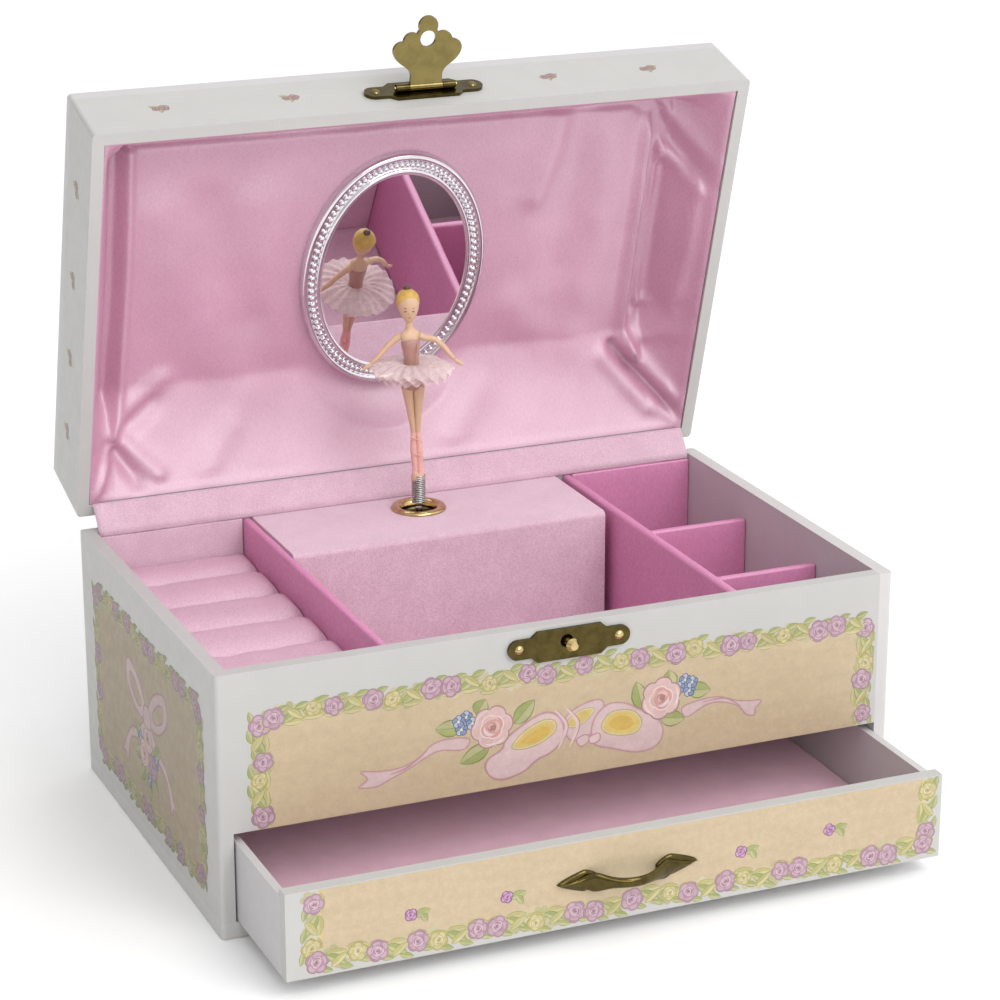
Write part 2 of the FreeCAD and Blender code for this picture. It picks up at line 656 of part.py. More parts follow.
def gear_points(teeth, module, phase, slack=0.12):
    """Corner points (across, up) of a spur gear; one tooth's middle points at phase."""
    pressure = math.radians(20)
    pitch = teeth * module / 2
    base = pitch * math.cos(pressure)
    root, tip = pitch - 1.25 * module, pitch + 0.8 * module
    half_at_pitch = math.pi / teeth / 2 - slack / pitch / 2

    def half_angle(radius):
        lean = math.acos(min(1, base / radius))
        return half_at_pitch + involute(pressure) - involute(lean)
    radii = [root, max(base, root + 0.1 * module), pitch, tip]
    points = []
    for tooth in range(teeth):
        middle = phase + 2 * math.pi * tooth / teeth
        for radius, side in [(r, -1) for r in radii] + [(r, 1) for r in reversed(radii)]:
            angle = middle + side * half_angle(radius)
            points.append((radius * math.cos(angle), radius * math.sin(angle)))
    return points


def upright_gear(teeth, module, phase, centre_x, front, back):
    """A spur gear that turns about a line parallel to Y at the movement's height."""
    height = size("movement_axis")
    outline = [Vector(centre_x + x, front, height + z)
               for x, z in gear_points(int(size(teeth)), size(module), phase)]
    face = Part.Face(Part.makePolygon(outline + outline[:1]))
    return face.extrude(Vector(0, back - front, 0))


def shaft(radius, centre_x, front, back):
    height = size("movement_axis")
    return rod(radius, Vector(centre_x, front, height), Vector(centre_x, back, height))


IDLER_SHAFT = 0.8
FAN_SHAFT = 0.6
SCREW_RADIUS = 0.8
COMB_X = (7.4, 17, 26)
COMB_SCREWS = [(21.5, 31.8), (21.5, 37.6)]


def make_movement_frame():
    """Bedplate, front and back plates, governor bracket, comb block and spindle arm, cast as one."""
    floor = size(FLOOR)
    bed_top = floor + 2.5
    front, back, plate = size("frame_front"), size("frame_back"), size("frame_plate")
    axis, arbor, gap = size("movement_axis"), size("arbor_radius"), size("running_gap")
    barrel_x, spindle_y = size("barrel_x"), size("spindle_y")
    comb_front, comb_back = comb_span()
    solids = [
        block((-45, 37), (front, back + plate), (floor, bed_top)),
        block((-27, 6), (front, front + plate), (floor, axis + 6)),
        block((-27, 27), (back, back + plate), (floor, axis + 6)),
        block((9.6, 27), (41.4, 42.6), (floor, axis + 4)),
        block(COMB_X[1:], (comb_front, comb_back), (floor, axis - 0.5)),
        block((-5, 5), (back, back + plate), (floor, 69)),
        block((-4, 4), (spindle_y - 3.2, back + plate), (66.4, 69)),
    ]
    frame = fused(solids)
    bores = [shaft(arbor + gap, barrel_x, front - 1, back + plate + 1),
             shaft(arbor + gap, 0, front - 1, back + plate + 1),
             shaft(IDLER_SHAFT + gap, size("idler_x"), 41, back + plate + 1),
             shaft(FAN_SHAFT + gap, size("fan_x"), 41, back + plate + 1),
             rod(arbor + gap, Vector(0, spindle_y, 60), Vector(0, spindle_y, 72))]
    for x, y in SCREW_PLACES:
        bores.append(rod(arbor, Vector(size(x), size(y), floor), Vector(size(x), size(y), bed_top)))
    for x, y in COMB_SCREWS:
        bores.append(rod(SCREW_RADIUS, Vector(x, y, axis - 5), Vector(x, y, axis)))
    for bore in bores:
        frame = frame.cut(bore)
    feature("movement_frame", frame)


def comb_span():
    front = size("comb_front")
    return front, front + size("note_count * note_pitch") - 0.15


def make_comb():
    """A steel comb: one tooth for each note, tips just short of the drum's pins."""
    axis, pitch = size("movement_axis"), size("note_pitch")
    front, back = comb_span()
    level = (axis - 0.5, axis + 0.5)
    solids = [block(COMB_X[1:], (front, back), level)]
    for note in range(int(size("note_count"))):
        start = front + note * pitch
        solids.append(block((COMB_X[0], COMB_X[1] + 0.2), (start, start + pitch - 0.15), level))
    comb = fused(solids)
    for x, y in COMB_SCREWS:
        comb = comb.cut(rod(SCREW_RADIUS, Vector(x, y, axis - 2), Vector(x, y, axis + 2)))
    feature("note_comb", comb)


def make_movement_screws():
    axis, arbor, floor = size("movement_axis"), size("arbor_radius"), size(FLOOR)
    screws = []
    for x, y in SCREW_PLACES:
        foot = Vector(size(x), size(y), floor - size("tray_board"))
        seat = Vector(foot.x, foot.y, floor + 2.5)
        screws.append(fused([rod(arbor, foot, seat), rod(2 * arbor, seat, seat + Z_AXIS * 1.3)]))
    for x, y in COMB_SCREWS:
        seat = Vector(x, y, axis + 0.5)
        screws.append(fused([rod(SCREW_RADIUS, seat - Z_AXIS * 5, seat),
                             rod(2 * SCREW_RADIUS, seat, seat + Z_AXIS)]))
    feature("movement_screws", Part.makeCompound(screws))


def make_barrel():
    """A hollow drum with the great wheel at its front, the mainspring inside it."""
    x, radius = size("barrel_x"), size("barrel_radius")
    wheel = upright_gear("barrel_teeth", "barrel_module", 0, x, 25.6, 28)
    body = fused([wheel, shaft(radius, x, 28, 41)])
    hollow = shaft(radius - 1, x, 29, 40)
    bore = shaft(size("arbor_radius + running_gap"), x, 25, 42)
    feature("spring_barrel", body.cut(hollow).cut(bore))
    make_mainspring(x)


def make_mainspring(centre_x):
    axis = size("movement_axis")
    turns, steps, start, thick = 5, 14, 2.4, 0.35
    growth = (size("barrel_radius") - 1.6 - start - thick) / turns
    inner, outer = [], []
    for step in range(turns * steps + 1):
        angle = 2 * math.pi * step / steps
        radius = start + growth * step / steps
        for points, reach in ((inner, radius), (outer, radius + thick)):
            points.append(Vector(centre_x + reach * math.cos(angle), 30,
                                 axis + reach * math.sin(angle)))
    outline = inner + outer[::-1]
    band = Part.Face(Part.makePolygon(outline + outline[:1])).extrude(Vector(0, 9, 0))
    feature("mainspring", band)


def make_winding():
    x, arbor, axis = size("barrel_x"), size("arbor_radius"), size("movement_axis")
    outside = size(HALF_DEPTH) + 0.8
    feature("winding_arbor", shaft(arbor, x, size("frame_front") - 0.2, outside + 3))
    stem = shaft(2.3, x, outside, outside + 7)
    wings = []
    for side in (-1, 1):
        wings.append(Part.makeCylinder(5.2, 1.8, Vector(x + side * 5, outside + 11, axis - 0.9)))
    wings.append(block((x - 2.3, x + 2.3), (outside + 6, outside + 14), (axis - 0.9, axis + 0.9)))
    key = fused([stem] + wings).cut(shaft(arbor, x, outside - 1, outside + 3))
    feature("winding_key", key)


def make_drum():
    """Drum sleeve with two pins for each note, its arbor with two gears, and the crown wheel."""
    arbor, radius, axis = size("arbor_radius"), size("drum_radius"), size("movement_axis")
    front, back = comb_span()
    sleeve = shaft(radius, 0, 28.4, 41)
    pins = []
    notes, pitch = int(size("note_count")), size("note_pitch")
    for note in range(notes):
        for beat in ((note * 5) % 16, (note * 5 + 7) % 16):
            angle = 2 * math.pi * (beat + 0.5) / 16
            out = Vector(math.cos(angle), 0, math.sin(angle))
            foot = Vector(0, front + (note + 0.38) * pitch, axis) + out * (radius - 0.4)
            pins.append(rod(0.16, foot, foot + out * 1))
    feature("music_drum", fused([sleeve] + pins).cut(shaft(arbor, 0, 27, 43)))
    pinion_phase = math.pi + math.pi / size("drum_pinion_teeth")
    pinion = upright_gear("drum_pinion_teeth", "barrel_module", pinion_phase, 0, 25.4, 28.2)
    wheel = upright_gear("drum_wheel_teeth", "wheel_module", 0, 0, 44, 45.5)
    spindle = shaft(arbor, 0, size("frame_front") - 0.2, size("frame_back") + 1.6)
    feature("drum_arbor", fused([pinion, wheel, spindle]))
    make_crown_wheel()


def make_crown_wheel():
    """A disc with radial teeth facing the front, in mesh with the dancer's upright pinion."""
    arbor, axis = size("arbor_radius"), size("movement_axis")
    teeth, module = int(size("crown_teeth")), size("crown_module")
    middle = teeth * module / 2
    pitch_y = size("spindle_y") + size("spindle_teeth") * module / 2
    disc = shaft(middle + 1, 0, pitch_y + 1.1, pitch_y + 2.2)
    profile = [(-0.52, 1.15), (-0.34, 0), (-0.2, -0.6), (0.2, -0.6), (0.34, 0), (0.52, 1.15)]
    points = [Vector(x, pitch_y + y, axis + middle - 0.4) for x, y in profile]
    rib = Part.Face(Part.makePolygon(points + points[:1])).extrude(Vector(0, 0, 1.3))
    ribs = []
    for tooth in range(teeth):
        turned = rib.copy()
        turned.rotate(Vector(0, 0, axis), Y_AXIS, 360 * tooth / teeth)
        ribs.append(turned)
    feature("crown_wheel", fused([disc] + ribs).cut(shaft(arbor, 0, 45, 55)))


def make_governor():
    idler_x, fan_x, axis = size("idler_x"), size("fan_x"), size("movement_axis")
    end = size("frame_back") + 1.6
    idler_phase = math.pi + math.pi / size("idler_pinion_teeth")
    pinion = upright_gear("idler_pinion_teeth", "wheel_module", idler_phase, idler_x, 43.7, 45.8)
    wheel = upright_gear("idler_wheel_teeth", "fan_module", 0, idler_x, 47, 48.2)
    core = shaft(2, idler_x, 45.6, 47.1)
    feature("idler_wheel", fused([pinion, wheel, core, shaft(IDLER_SHAFT, idler_x, 41.2, end)]))
    fan_phase = math.pi + math.pi / size("fan_pinion_teeth")
    fan_pinion = upright_gear("fan_pinion_teeth", "fan_module", fan_phase, fan_x, 46.8, 48.4)
    blades = block((fan_x - 4.5, fan_x + 4.5), (49.5, 54), (axis - 0.3, axis + 0.3))
    feature("governor_fan", fused([fan_pinion, blades, shaft(FAN_SHAFT, fan_x, 41.2, end)]))


def make_spindle():
    """The upright spindle under the dancer, with the pinion that the crown wheel drives."""
    y, axis = size("spindle_y"), size("movement_axis")
    middle = size("crown_teeth * crown_module / 2")
    low, high = axis + middle - 0.3, axis + middle + 0.8
    teeth = int(size("spindle_teeth"))
    phase = math.pi / 2 + math.pi / teeth
    outline = [Vector(x, y + along, low)
               for x, along in gear_points(teeth, size("crown_module"), phase, 0.4)]
    pinion = Part.Face(Part.makePolygon(outline + outline[:1])).extrude(Vector(0, 0, high - low))
    stem = rod(size("arbor_radius"), Vector(0, y, low), Vector(0, y, size("tray_top") + 0.3))
    feature("spindle", fused([pinion, stem]))


# --- dancer ----------------------------------------------------------------------------------

def make_coil_spring():
    """The close-wound spring: a tube with a rounded ridge for each turn."""
    y, radius, wire = size("spindle_y"), size("spring_radius"), 0.35
    low, high = size("spring_bottom"), size("spring_top")
    turns = int((high - low) / (2 * wire))
    inner = radius - 2 * wire
    points = [Vector(inner, y, low), Vector(radius - wire, y, low)]
    edges = [Part.makeLine(*points)]
    pitch = (high - low) / turns
    for turn in range(turns):
        start = Vector(radius - wire, y, low + turn * pitch)
        end = Vector(radius - wire, y, low + (turn + 1) * pitch)
        middle = Vector(radius, y, low + (turn + 0.5) * pitch)
        edges.append(Part.Arc(start, middle, end).toShape())
    top = Vector(radius - wire, y, high), Vector(inner, y, high)
    edges += [Part.makeLine(*top), Part.makeLine(top[1], points[0])]
    profile = Part.Face(Part.Wire(edges))
    feature("coil_spring", profile.revolve(Vector(0, y, 0), Z_AXIS, 360))


def make_ballerina():
    y = size("spindle_y")
    feet, knee, hip = size("feet"), size("knee"), size("hip")
    waist, neck, head = size("waist"), size("neck"), size("head_centre")

    def at(x, z, forward=0):
        return Vector(x, y - forward, z)
    solids = [rod(1.4, at(0, feet - 2), at(0, feet + 1.2)),
              tapered(1.4, 2.3, at(0, feet + 1), at(0, knee)),
              tapered(2.3, 3.3, at(0, knee), at(0, hip)),
              tapered(3.9, 2.7, at(0, hip), at(0, waist)),
              tapered(2.7, 3.6, at(0, waist), at(0, neck - 2.8)),
              tapered(3.6, 1.3, at(0, neck - 2.8), at(0, neck)),
              rod(1.3, at(0, neck - 0.5), at(0, head - 2)),
              ball(4.1, at(0, head)), ball(1.9, at(0, head + 2.6, -3))]
    for side in (-1, 1):
        shoulder, elbow, hand = at(3 * side, neck - 3), at(10 * side, 123.5, 1), at(14 * side, 120, 3)
        solids += [rod(0.95, shoulder, elbow), ball(0.95, elbow), rod(0.8, elbow, hand),
                   ball(1.1, hand)]
    feature("ballerina", fused(solids))


def make_tutu():
    """The skirt's outer shape: a shallow cone of tulle round the hips."""
    y, radius, waist = size("spindle_y"), size("tutu_radius"), 119.5
    profile = [(4, waist), (4, waist - 3.6), (radius - 1, waist - 7), (radius, waist - 5),
               (radius - 0.6, waist - 2.8)]
    points = [Vector(across, y, z) for across, z in profile]
    skirt = Part.Face(Part.makePolygon(points + points[:1]))
    feature("tutu", skirt.revolve(Vector(0, y, 0), Z_AXIS, 360))


# --- build, check and write ------------------------------------------------------------------

def check(item):
    """Stop on any object that failed to compute or a sub-part without a valid shape."""
    if item.Shape.isNull() or not item.Shape.isValid():
        raise ValueError("no valid shape in " + item.Label)
    if item.Shape.Volume <= 0:
        raise ValueError("no volume in " + item.Label)


def build():
    for make in (make_case, make_drawer, make_lid, make_hinges, make_hinge_strip, make_hasp,
                 make_tray, make_music_cover, make_eyelet, make_movement_frame, make_comb,
                 make_movement_screws, make_barrel, make_winding, make_drum, make_governor,
                 make_spindle, make_coil_spring, make_ballerina, make_tutu):
        make()
    doc.recompute()
    for item in doc.Objects:
        if "Invalid" in item.State or "Error" in item.State:
            raise ValueError("failed to compute: " + item.Label)
    os.makedirs("parts", exist_ok=True)
    for item in sub_parts:
        check(item)
        item.Shape.exportStep("parts/%s.step" % item.Label)
    print(len(sub_parts), "sub-parts written")


build()
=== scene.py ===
"""Looks of the ballerina jewellery box, in metres, in the same frame as the CAD."""
import json
import math
import random

import bmesh
import bpy
from mathutils import Matrix, Vector, noise
from mathutils.geometry import delaunay_2d_cdt


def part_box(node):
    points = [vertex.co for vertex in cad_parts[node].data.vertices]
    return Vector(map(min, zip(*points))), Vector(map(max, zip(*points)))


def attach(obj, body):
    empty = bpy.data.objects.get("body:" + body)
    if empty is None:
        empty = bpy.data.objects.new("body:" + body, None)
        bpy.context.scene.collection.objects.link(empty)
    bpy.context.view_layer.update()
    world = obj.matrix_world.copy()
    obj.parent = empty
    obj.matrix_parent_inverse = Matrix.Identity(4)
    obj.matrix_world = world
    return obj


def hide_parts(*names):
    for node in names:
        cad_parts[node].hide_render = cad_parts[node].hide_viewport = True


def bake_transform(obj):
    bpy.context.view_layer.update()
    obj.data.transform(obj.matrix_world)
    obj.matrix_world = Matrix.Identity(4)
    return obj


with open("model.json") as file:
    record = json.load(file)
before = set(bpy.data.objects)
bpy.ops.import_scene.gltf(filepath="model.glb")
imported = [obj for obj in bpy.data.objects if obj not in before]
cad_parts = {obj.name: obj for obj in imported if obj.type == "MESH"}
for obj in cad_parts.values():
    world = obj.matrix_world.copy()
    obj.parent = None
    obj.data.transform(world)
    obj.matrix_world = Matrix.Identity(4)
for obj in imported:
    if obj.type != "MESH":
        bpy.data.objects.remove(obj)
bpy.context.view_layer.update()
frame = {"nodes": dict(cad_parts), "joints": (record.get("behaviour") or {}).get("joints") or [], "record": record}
MM = 0.001
X, Y, Z = Vector((1, 0, 0)), Vector((0, 1, 0)), Vector((0, 0, 1))
WHITE = (1, 1, 1)
FULL_TURN = 2 * math.pi
joints = {joint["name"]: joint for joint in frame["joints"]}


# --- camera, light and floor -----------------------------------------------------------------

def camera_axes(azimuth, elevation):
    """Right, up and back of a camera; azimuth 0 looks along +Y."""
    turn, rise = math.radians(azimuth), math.radians(elevation)
    right = Vector((math.cos(turn), math.sin(turn), 0))
    level = math.cos(rise)
    back = Vector((math.sin(turn) * level, -math.cos(turn) * level, math.sin(rise)))
    return right, back.cross(right), back


def make_camera():
    """The photo's own view: angles, aim and distance were fitted to the corners of the box."""
    azimuth, elevation, distance = -23.22, 18.66, 0.8954
    middle, shift_right, shift_up = Vector((0, 0, 0.06)), 0.00622, 0.02869
    right, up, back = camera_axes(azimuth, elevation)
    target = middle + right * shift_right + up * shift_up
    data = bpy.data.cameras.new("camera")
    data.lens = 111.94
    data.sensor_width = 36
    data.clip_start = 0.01
    camera = bpy.data.objects.new("camera", data)
    turned = Matrix((right, up, back)).transposed().to_4x4()
    camera.matrix_world = Matrix.Translation(target + back * distance) @ turned
    bpy.context.scene.collection.objects.link(camera)
    bpy.context.scene.camera = camera


def area_light(name, place, target, size, watts):
    data = bpy.data.lights.new(name, "AREA")
    data.shape = "RECTANGLE"
    data.size, data.size_y = size
    data.energy = watts
    light = bpy.data.objects.new(name, data)
    aim = (Vector(target) - Vector(place)).to_track_quat("-Z", "Y")
    light.matrix_world = Matrix.Translation(place) @ aim.to_matrix().to_4x4()
    bpy.context.scene.collection.objects.link(light)


def make_stage():
    """A white floor, a key and a front light, and a world brightest up and to the right."""
    bpy.context.scene.view_settings.view_transform = "Standard"
    world = bpy.data.worlds.new("studio")
    world.use_nodes = True
    tree = world.node_tree
    place = tree.nodes.new("ShaderNodeTexCoord")
    facing = tree.nodes.new("ShaderNodeVectorMath")
    facing.operation = "DOT_PRODUCT"
    brightest = Vector((0.55, -0.38, 0.74))
    facing.inputs[1].default_value = brightest.normalized()
    strength = tree.nodes.new("ShaderNodeMapRange")
    for socket, value in (("From Min", -1), ("From Max", 1), ("To Min", 0.0), ("To Max", 1.36)):
        strength.inputs[socket].default_value = value
    tree.links.new(place.outputs["Generated"], facing.inputs[0])
    tree.links.new(facing.outputs["Value"], strength.inputs["Value"])
    tree.links.new(strength.outputs["Result"], tree.nodes["Background"].inputs["Strength"])
    tree.nodes["Background"].inputs["Color"].default_value = (1, 1, 1, 1)
    bpy.context.scene.world = world
    area_light("key", (0.5, -1.15, 1.35), (0, 0, 0.08), (0.8, 0.8), 8)
    area_light("front", (-0.2, -1.5, 0.85), (0, 0, 0.04), (0.8, 0.5), 4)
    mesh = bpy.data.meshes.new("floor")
    reach, below = 30, 0.0002
    corners = [(-reach, -reach, 0), (reach, -reach, 0), (reach, reach, 0), (-reach, reach, 0)]
    mesh.from_pydata(corners, [], [(0, 1, 2, 3)])
    floor = bpy.data.objects.new("floor", mesh)
    floor.location.z = -below
    bpy.context.scene.collection.objects.link(floor)
    floor.data.materials.append(floor_material())


# --- materials -------------------------------------------------------------------------------

class Shader:
    """One material and short calls for its nodes. Lengths in its textures are object metres."""

    def __init__(self, name, colour, roughness, **sockets):
        self.material = bpy.data.materials.new(name)
        self.material.use_nodes = True
        self.tree = self.material.node_tree
        self.surface = self.tree.nodes["Principled BSDF"]
        self.colour = colour
        self.put("Base Color", (*colour, 1))
        self.put("Roughness", roughness)
        for socket, value in sockets.items():
            self.put(socket.replace("_", " "), value)
        self.where = self.add("TexCoord").outputs["Object"]
        self.heights = None

    def add(self, kind, **settings):
        node = self.tree.nodes.new("ShaderNode" + kind)
        for name, value in settings.items():
            setattr(node, name, value)
        return node

    def put(self, socket, value):
        self.surface.inputs[socket].default_value = value

    def link(self, source, target):
        self.tree.links.new(source, target)

    def colour_from(self, source):
        self.link(source, self.surface.inputs["Base Color"])

    def noise(self, size, detail=3, roughness=0.55, stretch=None):
        """A noise whose features are about size millimetres across."""
        node = self.add("TexNoise")
        node.inputs["Scale"].default_value = 1 / (size * MM)
        node.inputs["Detail"].default_value = detail
        node.inputs["Roughness"].default_value = roughness
        self.link(self.stretched(stretch), node.inputs["Vector"])
        return node.outputs["Fac"]

    def cells(self, size):
        node = self.add("TexVoronoi")
        node.inputs["Scale"].default_value = 1 / (size * MM)
        self.link(self.where, node.inputs["Vector"])
        return node.outputs["Distance"]

    def stretched(self, stretch):
        if stretch is None:
            return self.where
        mapping = self.add("Mapping")
        mapping.inputs["Scale"].default_value = stretch
        self.link(self.where, mapping.inputs["Vector"])
        return mapping.outputs["Vector"]

    def ramp(self, factor, stops):
        """Two colours and the places between which one turns into the other."""
        node = self.add("ValToRGB")
        for element, (place, colour) in zip(node.color_ramp.elements, stops):
            element.position = place
            element.color = (*colour, 1)
        self.link(factor, node.inputs["Fac"])
        return node.outputs["Color"]

    def map(self, factor, low, high, start=0.3, end=0.7):
        node = self.add("MapRange")
        for socket, value in (("From Min", start), ("From Max", end), ("To Min", low),
                              ("To Max", high)):
            node.inputs[socket].default_value = value
        self.link(factor, node.inputs["Value"])
        return node.outputs["Result"]

    def times(self, first, second):
        """One colour multiplied by another; either may be a fixed colour."""
        node = self.add("Mix", data_type="RGBA", blend_type="MULTIPLY")
        inputs = [socket for socket in node.inputs if socket.type == "RGBA"]
        node.inputs["Factor"].default_value = 1.0
        for value, target in zip((first, second), inputs):
            if isinstance(value, tuple):
                target.default_value = (*value, 1)
            else:
                self.link(value, target)
        return [socket for socket in node.outputs if socket.type == "RGBA"][0]

    def bump(self, height, distance):
        """Stack one more bump; distance is its depth in millimetres."""
        node = self.add("Bump")
        node.inputs["Distance"].default_value = distance * MM
        node.inputs["Strength"].default_value = 1
        self.link(height, node.inputs["Height"])
        if self.heights:
            self.link(self.heights, node.inputs["Normal"])
        self.heights = node.outputs["Normal"]
        self.link(self.heights, self.surface.inputs["Normal"])

    def shades(self, factor, dark, light, start=0.3, end=0.7):
        """The base colour times dark to times light, as a ramp."""
        stops = [tuple(min(1, c * gain) for c in self.colour) for gain in (dark, light)]
        return self.ramp(factor, [(start, stops[0]), (end, stops[1])])

    def tint(self, amount, size, detail=3):
        """Vary the base colour up and down by amount, over features of that size."""
        self.colour_from(self.shades(self.noise(size, detail), 1 - amount, 1 + amount))

    def vary(self, socket, low, high, size, detail=3):
        source = self.map(self.noise(size, detail), low, high)
        self.link(source, self.surface.inputs[socket])


def floor_material():
    shader = Shader("floor_white", (0.97, 0.97, 0.97), 0.8)
    shader.tint(0.005, 300)
    return shader.material


def paper(name, colour):
    """Satin-laminated paper over board: faint fibres and a slight unevenness under it."""
    shader = Shader(name, colour, 0.42, Specular_IOR_Level=0.4)
    shader.tint(0.018, 9, 5)
    shader.vary("Roughness", 0.36, 0.5, 3, 5)
    shader.bump(shader.noise(14, 2), 0.06)
    shader.bump(shader.noise(0.5, 5), 0.012)
    return shader.material


def printed_paper():
    """The same paper under printed ink: the ink is the mesh's colours, with a soft mottle."""
    shader = Shader("printed_ink", WHITE, 0.42, Specular_IOR_Level=0.4)
    ink = shader.add("Attribute", attribute_name="ink").outputs["Color"]
    wash = shader.ramp(shader.noise(2.2, 5, 0.7), [(0.3, (0.86, 0.86, 0.87)), (0.7, WHITE)])
    streak = shader.ramp(shader.noise(7, 3, 0.6, (0.35, 0.35, 2.0)),
                         [(0.35, (0.95, 0.94, 0.93)), (0.65, WHITE)])
    grain = shader.ramp(shader.noise(0.35, 3, 0.6), [(0.3, (0.94, 0.94, 0.95)), (0.6, WHITE)])
    shade = ink
    for layer in (wash, streak, grain, (0.78, 0.79, 0.80)):
        shade = shader.times(shade, layer)
    shader.colour_from(shade)
    shader.vary("Roughness", 0.36, 0.48, 3, 4)
    shader.bump(shader.noise(0.5, 5), 0.01)
    return shader.material


def satin(name, colour, gloss=1.0):
    """Woven satin: deep colour in the shade under a broad, pale, silky shine."""
    shader = Shader(name, colour, 0.5, Specular_IOR_Level=0.3, Coat_Weight=gloss, Coat_IOR=2.4,
                    Coat_Roughness=0.5, Coat_Tint=(1.0, 0.93, 0.96, 1))
    weave = shader.noise(0.28, 2, 0.5, (1.0, 0.35, 0.35))
    base = shader.shades(shader.noise(30, 2), 0.95, 1.04)
    threads = shader.ramp(weave, [(0.3, (0.84, 0.76, 0.82)), (0.65, WHITE)])
    shader.colour_from(shader.times(base, threads))
    shader.vary("Roughness", 0.48, 0.62, 0.4, 3)
    shader.bump(weave, 0.06)
    shader.bump(shader.noise(5, 3, 0.5, (1.0, 1.0, 0.6)), 0.22)
    return shader.material


def plush(name, colour, pile=0.4, deep=0.78):
    """Short-pile velour: matt, speckled by its pile, with a soft bloom at grazing angles."""
    shader = Shader(name, colour, 0.92, Specular_IOR_Level=0.15, Sheen_Weight=0.8,
                    Sheen_Roughness=0.5, Sheen_Tint=(1.0, 0.86, 0.93, 1))
    tufts = shader.noise(pile, 4, 0.7)
    brushed = shader.noise(9, 4, 0.6)
    base = shader.shades(tufts, deep, 1.1, 0.3, 0.62)
    nap = shader.ramp(brushed, [(0.3, (0.9, 0.86, 0.89)), (0.7, WHITE)])
    shader.colour_from(shader.times(base, nap))
    shader.bump(tufts, 0.22)
    shader.bump(brushed, 0.2)
    return shader.material


def metal(name, colour, roughness, spread=0.08, dark=0.75):
    """Polished or plated metal: uneven gloss, faint marks and colour darker in patches."""
    shader = Shader(name, colour, roughness, Metallic=1.0)
    shader.colour_from(shader.shades(shader.noise(3.5, 5, 0.65), dark, 1, 0.32, 0.6))
    shader.vary("Roughness", roughness - spread, roughness + spread, 1.2, 5)
    shader.bump(shader.noise(1.6, 3), 0.03)
    shader.bump(shader.noise(0.25, 3, 0.6), 0.006)
    return shader.material


def mirror_silver():
    """Silvered glass, with a trace of dust."""
    shader = Shader("mirror_silver", (0.86, 0.85, 0.87), 0.01, Metallic=1.0)
    shader.tint(0.01, 20)
    shader.vary("Roughness", 0.004, 0.02, 6, 5)
    return shader.material


def painted(name, colour, roughness=0.38, mottle=0.04):
    """Painted moulded plastic."""
    shader = Shader(name, colour, roughness, Subsurface_Weight=0.15, Subsurface_Scale=0.001)
    shader.surface.inputs["Subsurface Radius"].default_value = (1.0, 0.5, 0.4)
    shader.tint(mottle, 1.5, 4)
    shader.vary("Roughness", roughness - 0.06, roughness + 0.1, 0.8, 4)
    shader.bump(shader.noise(0.5, 3), 0.02)
    return shader.material


def tulle():
    """Pleated net: mostly see-through, denser where threads cross."""
    shader = Shader("tulle", (0.80, 0.64, 0.64), 0.6, Sheen_Weight=0.6, Sheen_Roughness=0.4,
                    Sheen_Tint=(1, 0.95, 0.97, 1))
    net = shader.cells(0.22)
    cloud = shader.noise(1.3, 4)
    shader.link(shader.map(net, 0.4, 0.62, 0.05, 0.4), shader.surface.inputs["Alpha"])
    shader.colour_from(shader.ramp(cloud, [(0.3, (0.72, 0.55, 0.54)), (0.7, (0.92, 0.77, 0.76))]))
    shader.bump(net, 0.05)
    return shader.material


def make_materials():
    """All the looks by the name that pieces ask for; the record's slots are among them."""
    made = {
        "print_paper": paper("white_paper", (0.485, 0.48, 0.465)),
        # satin is a deeper, more saturated copy of the cloth for the partitions, bay back and dividers: painted
        # shade. satin_light is a paler copy for the lid's cloth: painted light.
        "satin": satin("satin", (0.69, 0.265, 0.47), 0.5),
        "satin_light": satin("satin_light", (0.60, 0.335, 0.445)),
        "satin_pad": satin("satin_pad", (0.68, 0.45, 0.545), 0.3),
        "plush": plush("plush", (0.73, 0.51, 0.60)),
        # The flock keeps its own pink but is brightened to full red, with its pile darkened less: painted light
        # for the drawer floor in shade.
        "flock": plush("flock", (1.0, 0.56, 0.67), 0.3, 0.84),
        "mirror_silver": mirror_silver(),
        "tulle": tulle(),
        "ink": printed_paper(),
        "figure": painted("skin", (0.64, 0.43, 0.28)),
    }
    # inner_paper_with_painted_light is lighter than the outer paper. This is partly a whiter paper inside and
    # partly painted light for the inner walls in shade.
    for name, colour in (("plain_paper", (0.52, 0.505, 0.51)),
                         ("inner_paper_with_painted_light", (0.57, 0.555, 0.55)),
                         ("base_paper", (0.52, 0.515, 0.50)),
                         ("backing_card", (0.35, 0.34, 0.33))):
        made[name] = paper(name, colour)
    # The brass colours carry painted reflection. Brass is darkened as a whole to stand in for the dark
    # surroundings it reflects. The dark copy paints dark reflection on the hasp and catch plates and the handle.
    # The bright copy paints highlights on the knuckle, nails, stud and eyelet.
    for name, *look in (("brass", (0.235, 0.185, 0.07), 0.19, 0.08, 0.78),
                        ("brass_dark", (0.105, 0.08, 0.027), 0.11, 0.04, 0.6),
                        ("brass_bright", (0.62, 0.47, 0.22), 0.16, 0.05, 0.6),
                        ("cast_frame", (0.42, 0.42, 0.41), 0.45, 0.1),
                        ("gear_brass", (0.72, 0.56, 0.28), 0.28),
                        ("steel", (0.52, 0.51, 0.50), 0.24),
                        ("chrome_rim", (0.74, 0.71, 0.74), 0.12, 0.05, 0.9)):
        made[name] = metal(name, *look)
    for name, *look in (("hair", (0.60, 0.38, 0.09), 0.42, 0.15),
                        ("bodice", (0.44, 0.24, 0.20), 0.4, 0.06),
                        ("slipper", (0.80, 0.45, 0.40), 0.35, 0.06),
                        ("face_paint", (0.10, 0.05, 0.04), 0.4, 0.1),
                        ("lip_paint", (0.62, 0.12, 0.12), 0.4, 0.1)):
        made[name] = painted(name, *look)
    return made


